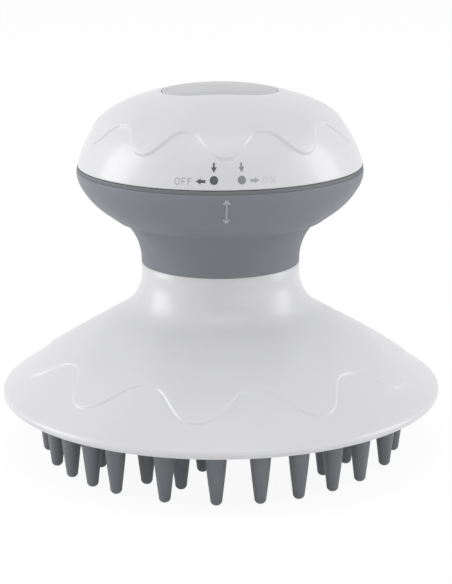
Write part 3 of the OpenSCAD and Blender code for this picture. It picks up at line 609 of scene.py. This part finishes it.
# %% A cross-head screw
PITCH, THREAD_DEPTH = 0.55, 0.18
LARGE_SCREW, SMALL_SCREW = (1.3, 2.4, 1.82, 7.6), (1.0, 1.8, 1.1, 4.9)
TRAY_SCREW_RING, TRAY_FOOT_H, BASE_SEAT_Z = 16.0, 3.5, 16.82


def screw_part(thread_r, head_r, head_t, length):
    turns = int((length - 0.5) / PITCH)
    ridges = [[thread_r - THREAD_DEPTH * (i % 2), -0.35 - PITCH / 2 * i]
              for i in range(2 * turns)]
    quarter = np.linspace(0, 1.57, 9)
    line = joined([[0, head_t], [0.6 * head_r, head_t]],
                  np.column_stack([head_r * (0.6 + 0.4 * np.sin(quarter)),
                                   head_t * (0.3 + 0.7 * np.cos(quarter))]),
                  [[head_r, 0], [thread_r, 0]], ridges, [[0.6 * thread_r, -length], [0, -length]])
    return turned(line, 32, closed=False)


def cross_cut(made, spots, size, flip):
    """Cuts a cross at each spot; its arms get narrower with depth."""
    cutter = bmesh.new()
    for centre in spots:
        for turn in (0, 90):
            box = bmesh.ops.create_cube(cutter, size=1)["verts"]
            bmesh.ops.scale(cutter, verts=box, vec=Vector((2 * size, 0.32 * size, size)) * MM)
            for v in box:
                if v.co.z * flip < 0:
                    v.co.x *= 0.45
            bmesh.ops.rotate(cutter, verts=box, matrix=Matrix.Rotation(math.radians(turn), 3, "Z"))
            bmesh.ops.translate(cutter, verts=box, vec=Vector(centre) * MM)
    mesh = bpy.data.meshes.new(made.name + "_recess")
    cutter.to_mesh(mesh)
    cutter.free()
    tool = put(made.name + "_recess", mesh)
    modifier = made.modifiers.new("recess", "BOOLEAN")
    modifier.object, modifier.operation, modifier.solver = tool, "DIFFERENCE", "EXACT"
    modifier.use_self = True
    made.modifiers.move(len(made.modifiers) - 1, 0)
    graph = bpy.context.evaluated_depsgraph_get()
    cut_mesh = bpy.data.meshes.new_from_object(made.evaluated_get(graph), depsgraph=graph)
    cut_mesh.set_sharp_from_angle(angle=math.radians(40))
    made.modifiers.clear()
    made.data = cut_mesh
    bpy.data.objects.remove(tool)


def screw_set(name, node, ring, places, seat_z, sizes, up):
    thread_r, head_r, head_t, length = sizes
    part = screw_part(thread_r, head_r, head_t, length)
    flip = Matrix.Diagonal((1, 1, 1 if up else -1, 1))
    copies, spots = [], []
    for a in places:
        centre = upright(ring, a).translation + Vector((0, 0, seat_z))
        copies.append(moved(moved(part, flip), Matrix.Translation(centre)))
        spots.append(centre + Vector((0, 0, (head_t if up else -head_t))))
    made = piece(name, together(*copies), "base", node, slot="steel")
    cross_cut(made, spots, 0.62 * head_r, 1 if up else -1)
    return made


screws = [
    screw_set("base_screw_set", "base_screws", BASE_SCREW_RING, BASE_SCREW_ANGLES, BASE_SEAT_Z,
              LARGE_SCREW, False),
    screw_set("neck_screw_set", "neck_screws", NECK_SCREW_RING, THIRDS, floor_z,
              LARGE_SCREW, True),
    screw_set("tray_screw_set", "tray_screws", TRAY_SCREW_RING, (90, 270),
              floor_z + TRAY_FOOT_H, SMALL_SCREW, True)]
print("screw heads cut:", len(screws), "sets")

# %% [markdown]
# ## Springs, wires and the motor's cushion
#
# What is soft or wound is made again with more steps than its solid. A tube follows a line of
# points: at each point a ring of the wire's radius stands square to the line. The coil springs
# narrow towards the cell. The wires run smoothly through a few places and stay where their solids
# are, under the tray and down through the hole in the bowl's floor.

# %% Sweep a tube along points
def swept(points, radius, sides=12):
    points = np.asarray(points, float)
    along = np.gradient(points, axis=0)
    along /= np.linalg.norm(along, axis=1)[:, None]
    side = np.cross(along[0], [0.13, 0.27, 0.95])
    rings = []
    for point, way in zip(points, along):
        side = side - way * (side @ way)
        side /= np.linalg.norm(side)
        a = angles_of(sides)[:, None]
        rings.append(point + radius * (np.cos(a) * side + np.sin(a) * np.cross(way, side)))
    body, faces = stacked(np.array(rings), False)
    last = (len(points) - 1) * sides
    return body, faces + [tuple(range(sides)), tuple(last + k for k in range(sides))]


def smooth_route(route, steps=10):
    route = np.asarray(route, float)
    ends = np.vstack([route[:1], route, route[-1:]])
    made = []
    for a, b, c, d in zip(ends, ends[1:], ends[2:], ends[3:]):
        t = np.linspace(0, 1, steps, endpoint=False)[:, None]
        made.append(0.5 * (2 * b + (c - a) * t + (2 * a - 5 * b + 4 * c - d) * t ** 2
                           + (3 * b - a - 3 * c + d) * t ** 3))
    return np.vstack(made + [route[-1:]])


# %% Springs at the cells' flat ends
CELL_Y, CELL_Z, SPRING_X, SPRING_LEN, SPRING_WIRE = 5.6, floor_z + 8.85, -23.6, 2.6, 0.5
COIL_R, COIL_TAPER, COIL_TURNS = 3.9, 2.1, 2.5
k = np.linspace(0, 1, 90)
coil_r, coil_a = COIL_R - COIL_TAPER * k, k * COIL_TURNS * 2 * math.pi
coil = np.column_stack([SPRING_X + SPRING_WIRE / 2 + (SPRING_LEN - SPRING_WIRE) * k,
                        -CELL_Y + coil_r * np.cos(coil_a), CELL_Z + coil_r * np.sin(coil_a)])
spring = swept(coil, SPRING_WIRE / 2)
springs = piece("coil_springs", together(spring, moved(spring, Matrix.Rotation(math.pi, 4, "Z"))),
                "base", "cell_springs", slot="steel")

# %% Wires and cushion
UNDER_Z, TAIL_X, TAIL_Z, JOINT_Z, BLADE_Y = floor_z + 1.1, 23.0, floor_z + 1.7, 50.9, 15.6
WIRE_R, CUSHION_IN_R, CUSHION_OUT_R = 0.6, 10.35, 11.25
ROUTES = {
    "plus": [(TAIL_X, -5.6, TAIL_Z), (22, -8.5, UNDER_Z), (15, -13.5, UNDER_Z),
             (8, -15.5, UNDER_Z), (3.3, -BLADE_Y, UNDER_Z + 0.5)],
    "switched": [(-3.3, -BLADE_Y, UNDER_Z + 0.5), (-3.7, -9.5, UNDER_Z),
                 (-3.9, -6, UNDER_Z - 0.1), (-4.4, -3.2, floor_z - 2), (-4.6, 0, JOINT_Z)],
    "return": [(TAIL_X, 5.6, TAIL_Z), (18, 6.5, UNDER_Z), (10, 5, UNDER_Z),
               (6.2, 3, UNDER_Z - 0.1), (5, 2, floor_z - 2), (4.6, 0, JOINT_Z)]}
wires = {}
for wire_name, route in ROUTES.items():
    wires[wire_name] = piece(f"{wire_name}_lead", swept(smooth_route(route), WIRE_R), "base",
                             f"wire_{wire_name}",
                             slot="black_wire" if wire_name == "return" else "red_wire")
cushion_low, cushion_high = (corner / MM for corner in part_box("motor_cushion"))
cushion_profile = soften([[CUSHION_IN_R, cushion_low.z], [CUSHION_OUT_R, cushion_low.z],
                          [CUSHION_OUT_R, cushion_high.z], [CUSHION_IN_R, cushion_high.z]],
                         radius=0.25)
cushion = piece("motor_sleeve", turned(cushion_profile, count=96), "base", "motor_cushion",
                slot="seal_rubber")

# %% [markdown]
# ## The printed marks
#
# Next to the seam the cap has two dots with a small arrow over each, and an arrow and a word to
# either side that say which way is off and which is on. On the bowl a raised double arrow shows
# where the dots are read. Each mark is drawn flat, as strokes, given a little thickness, sliced
# into narrow strips, and then wrapped on the skin: across becomes an angle and up becomes a
# height. A picture on the surface would be simpler, but a real layer of ink has an edge.

# %% Draw strokes and wrap them on a skin
def stroke(x0, y0, x1, y1, width):
    way = np.array([x1 - x0, y1 - y0])
    way = way / np.linalg.norm(way)
    side = np.array([-way[1], way[0]]) * width / 2
    a, b = np.array([x0, y0]), np.array([x1, y1])
    return [a - side, b - side, b + side, a + side]


def disc(x, y, radius, count=40):
    a = angles_of(count)
    return list(np.column_stack([x + radius * np.cos(a), y + radius * np.sin(a)]))


def hoop(x, y, rx, ry, width, count=36):
    """An upright oval ring as short strokes end to end."""
    a = angles_of(count)
    outer = np.column_stack([x + rx * np.cos(a), y + ry * np.sin(a)])
    inner = np.column_stack([x + (rx - width) * np.cos(a), y + (ry - width) * np.sin(a)])
    return [[outer[i], outer[(i + 1) % count], inner[(i + 1) % count], inner[i]]
            for i in range(count)]


STRIPS = (0.25, 0.3)  # greatest widths across and up


def wrapped(name, shapes, line, angle, height, lift, thickness, body):
    """Flat shapes in mm become a thin layer on the skin, centred at an angle and a height."""
    bm = bmesh.new()
    for shape in shapes:
        face = bm.faces.new([bm.verts.new((p[0], p[1], 0)) for p in shape])
        if face.calc_area() < 1e-9:
            bm.faces.remove(face)
    bmesh.ops.remove_doubles(bm, verts=bm.verts, dist=1e-4)
    bmesh.ops.recalc_face_normals(bm, faces=bm.faces)
    for axis, strip in enumerate(STRIPS):
        spread = [v.co[axis] for v in bm.verts]
        way = Vector((1 - axis, axis, 0))
        for place in np.arange(min(spread) + 0.2, max(spread), strip):
            bmesh.ops.bisect_plane(bm, geom=bm.verts[:] + bm.edges[:] + bm.faces[:],
                                   plane_co=way * float(place), plane_no=way)
    grown = bmesh.ops.extrude_face_region(bm, geom=bm.faces[:])
    upper_verts = {v for v in grown["geom"] if isinstance(v, bmesh.types.BMVert)}
    _, out = walk(line)
    for v in bm.verts:
        z = height + v.co.y
        r, nr, nz = (float(np.interp(-z, -line[:, 1], column))
                     for column in (line[:, 0], out[:, 0], out[:, 1]))
        up = lift if v in upper_verts else lift - thickness
        a = math.radians(angle) + v.co.x / r
        v.co = ((r + up * nr) * math.sin(a), -(r + up * nr) * math.cos(a), z + up * nz)
    mesh = bpy.data.meshes.new(name)
    bm.to_mesh(mesh)
    points = np.array([v.co for v in mesh.vertices])
    faces = [tuple(f.vertices) for f in mesh.polygons]
    bm.free()
    made = piece(name, (points, faces), body)
    made.modifiers.clear()
    made.data.set_sharp_from_angle(angle=math.radians(35))
    return made


# %% The marks themselves
def small_arrow():
    """Points down, 2.1 mm tall, its middle at the origin."""
    return [stroke(0, 1.05, 0, -0.1, 0.42), [(-0.66, 0.1), (0, -1.05), (0.66, 0.1)]]


def side_arrow(way):
    return [stroke(way * -1.1, 0, way * 0.1, 0, 0.62),
            [(0, -0.68), (way * 1.1, 0), (0, 0.68)]]


def letter_o(x):
    return hoop(x, 0, 0.6, 0.8, 0.2)


def letter_f(x):
    return [stroke(x - 0.4, -0.8, x - 0.4, 0.8, 0.2), stroke(x - 0.5, 0.7, x + 0.45, 0.7, 0.2),
            stroke(x - 0.5, 0.03, x + 0.3, 0.03, 0.2)]


def letter_n(x):
    return [stroke(x - 0.5, -0.8, x - 0.5, 0.8, 0.2), stroke(x + 0.5, -0.8, x + 0.5, 0.8, 0.2),
            stroke(x - 0.5, 0.75, x + 0.5, -0.75, 0.22)]


DOT_ANGLES, INK, INK_SUNK = (-4.75, 5.85), 0.03, 0.08
marks = {}
for mark_name, shapes, angle, height in (
        ("dot_left", [disc(0, 0, 0.97)], DOT_ANGLES[0], 74.3),
        ("dot_right", [disc(0, 0, 0.95)], DOT_ANGLES[1], 74.3),
        ("arrow_down_left", small_arrow(), DOT_ANGLES[0] - 0.1, 77.0),
        ("arrow_down_right", small_arrow(), DOT_ANGLES[1] + 0.1, 77.0),
        ("arrow_off", side_arrow(-1), -9.8, 74.05),
        ("arrow_on", side_arrow(1), 10.85, 74.15),
        ("word_off", letter_o(-1.5) + letter_f(0.05) + letter_f(1.45), -16.4, 73.95),
        ("word_on", letter_o(-0.85) + letter_n(0.85), 16.4, 74.15)):
    marks[mark_name] = wrapped(mark_name, shapes, dome_line, angle, height, INK, INK_SUNK, "cap")

double_arrow = [stroke(0, -2.5, 0, 2.5, 0.38)] + [
    stroke(0, way * 2.9, side * 0.76, way * 1.9, 0.45) for way in (-1, 1) for side in (-1, 1)]
marks["index_arrow"] = wrapped("index_arrow", double_arrow, bowl_out, angle=0, height=66.95,
                               lift=0.16, thickness=0.3, body="base")
print("marks:", ", ".join(marks))

# %% [markdown]
# ## Finishes
#
# A plastic is never one flat colour. Each finish here starts from a Principled shader and adds
# three fine things from noise in the object's own coordinates: a slow drift between two close
# shades, a patchy gloss, and the fine grain of the mould as a bump. Values that are the same
# all over, such as the coat, are set on the shader itself.

# %% A moulded finish from noise
def ink(red, green, blue):
    """A screen colour, 0 to 255, as the shader wants it."""
    def linear(c):
        c /= 255
        return c / 12.92 if c <= 0.04045 else ((c + 0.055) / 1.055) ** 2.4
    return (linear(red), linear(green), linear(blue), 1)


def noise(tree, scale, detail=3.0, stretch=None):
    place = tree.nodes.new("ShaderNodeTexCoord").outputs["Object"]
    if stretch:
        mapping = tree.nodes.new("ShaderNodeMapping")
        mapping.inputs["Scale"].default_value = stretch
        tree.links.new(place, mapping.inputs["Vector"])
        place = mapping.outputs["Vector"]
    node = tree.nodes.new("ShaderNodeTexNoise")
    node.inputs["Scale"].default_value = scale
    node.inputs["Detail"].default_value = detail
    tree.links.new(place, node.inputs["Vector"])
    return node.outputs["Fac"]


def ranged(tree, value, low, high):
    node = tree.nodes.new("ShaderNodeMapRange")
    node.inputs["From Min"].default_value = 0.3
    node.inputs["From Max"].default_value = 0.7
    node.inputs["To Min"].default_value = low
    node.inputs["To Max"].default_value = high
    tree.links.new(value, node.inputs["Value"])
    return node.outputs["Result"]


def feed(tree, socket, value):
    """Links an output to a socket, or sets a plain value on it."""
    if hasattr(value, "is_linked"):
        tree.links.new(value, socket)
    else:
        socket.default_value = value


def blended(tree, factor, first, second):
    node = tree.nodes.new("ShaderNodeMix")
    node.data_type = "RGBA"
    tree.links.new(factor, node.inputs["Factor"])
    feed(tree, node.inputs["A"], first)
    feed(tree, node.inputs["B"], second)
    return node.outputs["Result"]


def worked(tree, operation, first, second):
    node = tree.nodes.new("ShaderNodeMath")
    node.operation = operation
    feed(tree, node.inputs[0], first)
    feed(tree, node.inputs[1], second)
    return node.outputs["Value"]


def finish(name, colour, drift=0.05, gloss=(0.3, 0.4), grain=2600, grain_height=0.02,
           stretch=None, **constants):
    """Drift is between two shades, gloss a range of roughness, grain a noise scale and height."""
    material = bpy.data.materials.new(name)
    material.use_nodes = True
    tree = material.node_tree
    shader = tree.nodes["Principled BSDF"]
    lighter = tuple(min(1, c * (1 + drift)) for c in colour[:3]) + (1,)
    darker = tuple(c * (1 - drift) for c in colour[:3]) + (1,)
    clouds = ranged(tree, noise(tree, 45), 0, 1)
    tree.links.new(blended(tree, clouds, darker, lighter), shader.inputs["Base Color"])
    tree.links.new(ranged(tree, noise(tree, 160, 4, stretch), *gloss), shader.inputs["Roughness"])
    bump = tree.nodes.new("ShaderNodeBump")
    bump.inputs["Strength"].default_value = 0.35
    bump.inputs["Distance"].default_value = grain_height * MM
    tree.links.new(noise(tree, grain, 2, stretch), bump.inputs["Height"])
    tree.links.new(bump.outputs["Normal"], shader.inputs["Normal"])
    for socket, value in constants.items():
        shader.inputs[socket.replace("_", " ")].default_value = value
    return material


def dress(material, *objects):
    for made in objects:
        made.data.materials.clear()
        made.data.materials.append(material)


# %% [markdown]
# The white shell is a satin plastic: the lamps show in it as broad soft patches. A thin coat
# gives the crisp edge of the shine. The greys lean to blue, the sleeve and fingers are duller
# than the bowl, and the seal in the seam is as dark as the fingers.

# %% Skins
white = finish("white shell", ink(226, 226, 229), 0.012, (0.3, 0.38), 1500, 0.012,
               Coat_Weight=0.25, Coat_Roughness=0.16)
badge_grey = finish("badge grey", ink(200, 200, 202), 0.02, (0.3, 0.42), 2400, 0.02)
bowl_grey = finish("bowl grey", ink(134, 137, 144), 0.03, (0.42, 0.52), 2600, 0.03,
                   Specular_IOR_Level=0.28)
sleeve_grey = finish("sleeve grey", ink(132, 135, 142), 0.03, (0.5, 0.6), 3000, 0.04,
                     Specular_IOR_Level=0.25)
finger_grey = finish("finger silicone", ink(118, 121, 126), 0.05, (0.46, 0.6), 2200, 0.03)
seal_dark = finish("seal rubber", ink(118, 120, 125), 0.06, (0.6, 0.75), 3200, 0.05)
base_white = finish("base white", ink(214, 214, 217), 0.02, (0.42, 0.55), 3600, 0.05)

dress(white, cap_shell, skirt)
dress(badge_grey, badge)
dress(bowl_grey, bowl)
dress(sleeve_grey, sleeve)
dress(finger_grey, *fingers)
dress(seal_dark, seal, cushion)

# %% Inks and the raised arrow
dark_ink = finish("dark ink", ink(88, 89, 94), 0.05, (0.45, 0.6), 5000, 0.01)
mid_ink = finish("mid ink", ink(143, 144, 149), 0.05, (0.45, 0.6), 5000, 0.01)
pale_ink = finish("pale ink", ink(178, 178, 182), 0.04, (0.45, 0.6), 5000, 0.01)
faint_ink = finish("faint ink", ink(211, 211, 214), 0.03, (0.45, 0.6), 5000, 0.01)
arrow_grey = finish("arrow grey", ink(178, 180, 186), 0.04, (0.35, 0.5), 4000, 0.01)
dress(dark_ink, marks["dot_left"], marks["arrow_down_left"], marks["arrow_off"])
dress(mid_ink, marks["dot_right"], marks["arrow_down_right"])
dress(pale_ink, marks["word_off"], marks["arrow_on"])
dress(faint_ink, marks["word_on"])
dress(arrow_grey, marks["index_arrow"])

# %% [markdown]
# The inner parts show when the cap is lifted for a change of cells. They keep their solid shapes.
# A small bevel takes the knife edge off, and their noise is stretched along the way that each was
# made: round for turned steel, flat for strip.

# %% Inner parts
dark_plastic = finish("dark plastic", ink(62, 63, 66), 0.08, (0.45, 0.6), 3600, 0.05)
pale_plastic = finish("pale plastic", ink(196, 196, 194), 0.04, (0.4, 0.55), 3400, 0.04)
steel = finish("plated steel", ink(190, 190, 192), 0.05, (0.22, 0.4), 900, 0.01,
               stretch=(1, 1, 12), Metallic=1.0)
brass = finish("brass strip", ink(214, 180, 104), 0.06, (0.2, 0.38), 900, 0.01,
               stretch=(1, 12, 1), Metallic=1.0)
red_wire = finish("red insulation", ink(178, 38, 34), 0.08, (0.4, 0.55), 2400, 0.02)
black_wire = finish("black insulation", ink(34, 34, 36), 0.1, (0.4, 0.55), 2400, 0.02)

FINISH_OF = {
    dark_plastic: ("switch_ring", "battery_tray", "switch_block", "motor_mount", "motor_clamp"),
    pale_plastic: ("motor_end_bell", "finger_retainer"),
    base_white: ("base_plate",),
    steel: ("motor_can", "motor_shaft", "clamp_screws", "mount_screws"),
    brass: ("ring_wiper", "end_contacts", "bridge_contact", "switch_contacts", "motor_terminals",
            "shaft_bush", "eccentric_weight")}
BEVELS = {"base_plate": 0.25, "battery_tray": 0.15, "switch_ring": 0.15, "switch_block": 0.2,
          "motor_can": 0.3, "motor_mount": 0.15, "eccentric_weight": 0.2, "motor_clamp": 0.2,
          "finger_retainer": 0.15, "battery_cells": 0.25}


def round_edges(solid, width):
    solid.data.shade_smooth()
    solid.data.set_sharp_from_angle(angle=math.radians(32))
    if width:
        bevel = solid.modifiers.new("small bevel", "BEVEL")
        bevel.width, bevel.segments = width * MM, 2
        bevel.limit_method, bevel.angle_limit = "ANGLE", math.radians(40)
        bevel.harden_normals = True


for material, names in FINISH_OF.items():
    for name in names:
        dress(material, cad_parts[name])
        round_edges(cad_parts[name], BEVELS.get(name, 0))
dress(steel, springs, *screws)
dress(red_wire, wires["plus"], wires["switched"])
dress(black_wire, wires["return"])
print("finishes:", len(bpy.data.materials))

# %% [markdown]
# The cells' printed sleeve is a plain dark green with a pale band near the nub and bare steel at
# the ends. The two cells lie head to tail, so the band's place along X changes its sign with the
# side that the cell is on. The material reads the point's own place and works that out.

# %% Cells with bands
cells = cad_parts["battery_cells"]
cell_finish = finish("cell jacket", ink(46, 92, 66), 0.06, (0.25, 0.4), 1800, 0.01)
tree = cell_finish.node_tree
shader = tree.nodes["Principled BSDF"]
green = shader.inputs["Base Color"].links[0].from_socket
split = tree.nodes.new("ShaderNodeSeparateXYZ")
tree.links.new(tree.nodes.new("ShaderNodeTexCoord").outputs["Object"], split.inputs["Vector"])

BAND_FROM, NUB_FROM, TAIL_TO = 11.0, 22.6, -20.6
side_sign = worked(tree, "SIGN", split.outputs["Y"], 0)
along_cell = worked(tree, "MULTIPLY", split.outputs["X"], side_sign)
toward_nub = worked(tree, "MULTIPLY", along_cell, -1 / MM)
band = worked(tree, "GREATER_THAN", toward_nub, BAND_FROM)
bare_nub = worked(tree, "GREATER_THAN", toward_nub, NUB_FROM)
bare_tail = worked(tree, "LESS_THAN", toward_nub, TAIL_TO)
bare = worked(tree, "MAXIMUM", bare_nub, bare_tail)
banded = blended(tree, band, green, ink(206, 202, 190))
tree.links.new(blended(tree, bare, banded, ink(190, 190, 192)), shader.inputs["Base Color"])
tree.links.new(bare, shader.inputs["Metallic"])
dress(cell_finish, cells)
round_edges(cells, BEVELS["battery_cells"])
print("cells:", len(tree.nodes), "shader nodes")

# %% [markdown]
# ## Floor and light
#
# The picture has a white ground and two tall soft lamps at the sides: they show in the neck and
# the dome as pale patches with a darker band between them. Lamps at plain levels light the object.
# The ground is white to the camera by its own colour, not by more light, and keeps a trace of
# shadow under the skirt. Seen from below it is clear, so that the base can be looked at too.

# %% Floor and world
def mixed(tree, factor, first, second):
    mix = tree.nodes.new("ShaderNodeMixShader")
    tree.links.new(factor, mix.inputs["Fac"])
    tree.links.new(first, mix.inputs[1])
    tree.links.new(second, mix.inputs[2])
    return mix.outputs["Shader"]


def white_to_camera(tree, plain, glow_type, strength, share):
    """Mixes a plain shader with white for rays that look at the ground directly."""
    glow = tree.nodes.new(glow_type)
    glow.inputs["Strength"].default_value = strength
    glow.inputs["Color"].default_value = (1, 1, 1, 1)
    path = tree.nodes.new("ShaderNodeLightPath")
    seen = path.outputs["Is Camera Ray"]
    for ray in ("Is Glossy Ray", "Is Transmission Ray"):
        seen = worked(tree, "MAXIMUM", seen, path.outputs[ray])
    return mixed(tree, worked(tree, "MULTIPLY", seen, share), plain, glow.outputs[0])


FLOOR_SIZE, FLOOR_GAP = 8.0, 0.0002
floor_mesh = bpy.data.meshes.new("floor")
half = FLOOR_SIZE / 2
floor_mesh.from_pydata([(-half, -half, 0), (half, -half, 0), (half, half, 0), (-half, half, 0)],
                       [], [(0, 1, 2, 3)])
floor = put("floor", floor_mesh)
floor.location.z = -FLOOR_GAP
floor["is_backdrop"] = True
floor_white = finish("floor white", (0.86, 0.86, 0.86, 1), 0.01, (0.7, 0.8), 60, 0.01)
floor_tree = floor_white.node_tree
plain = floor_tree.nodes["Principled BSDF"].outputs["BSDF"]
ground = white_to_camera(floor_tree, plain, "ShaderNodeEmission", strength=1.05, share=0.88)
underside = floor_tree.nodes.new("ShaderNodeNewGeometry").outputs["Backfacing"]
clear = floor_tree.nodes.new("ShaderNodeBsdfTransparent").outputs["BSDF"]
floor_tree.links.new(mixed(floor_tree, underside, ground, clear),
                     floor_tree.nodes["Material Output"].inputs["Surface"])
dress(floor_white, floor)

world = bpy.data.worlds.new("studio")
bpy.context.scene.world = world
world.use_nodes = True
ambient = world.node_tree.nodes["Background"]
ambient.inputs["Color"].default_value = (1, 1, 1, 1)
ambient.inputs["Strength"].default_value = 0.46
sky = white_to_camera(world.node_tree, ambient.outputs["Background"], "ShaderNodeBackground",
                      strength=1, share=1)
world.node_tree.links.new(sky, world.node_tree.nodes["World Output"].inputs["Surface"])
print("floor", FLOOR_SIZE, "m across, ambient light", ambient.inputs["Strength"].default_value)


# %% Lamps
AIM = Vector((0, 0, 0.05))


def lamp(name, place, width, height, power):
    data = bpy.data.lights.new(name, "AREA")
    data.shape, data.size, data.size_y, data.energy = "RECTANGLE", width, height, power
    made = put(name, data)
    made.location = place
    made.rotation_euler = (AIM - Vector(place)).to_track_quat("-Z", "Y").to_euler()
    print(name, power, "W")


lamp("left_lamp", (-0.8, 0.05, 0.32), width=0.45, height=0.6, power=2.95)
lamp("right_lamp", (0.8, 0.02, 0.32), width=0.4, height=0.6, power=2.1)
lamp("top_lamp", (0.0, -0.35, 0.95), width=0.7, height=0.7, power=1.9)
lamp("front_lamp", (0.35, -0.95, 0.22), width=0.9, height=0.4, power=0.95)

# %% [markdown]
# ## The size of the dressed object
#
# The dressed object has to fill the same box as its solids. Both boxes are printed.

# %% Write the sizes and finish
box_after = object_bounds()
for word, box in (("solids", box_before), ("dressed", box_after)):
    print(word, [[round(c / MM, 2) for c in corner] for corner in box])
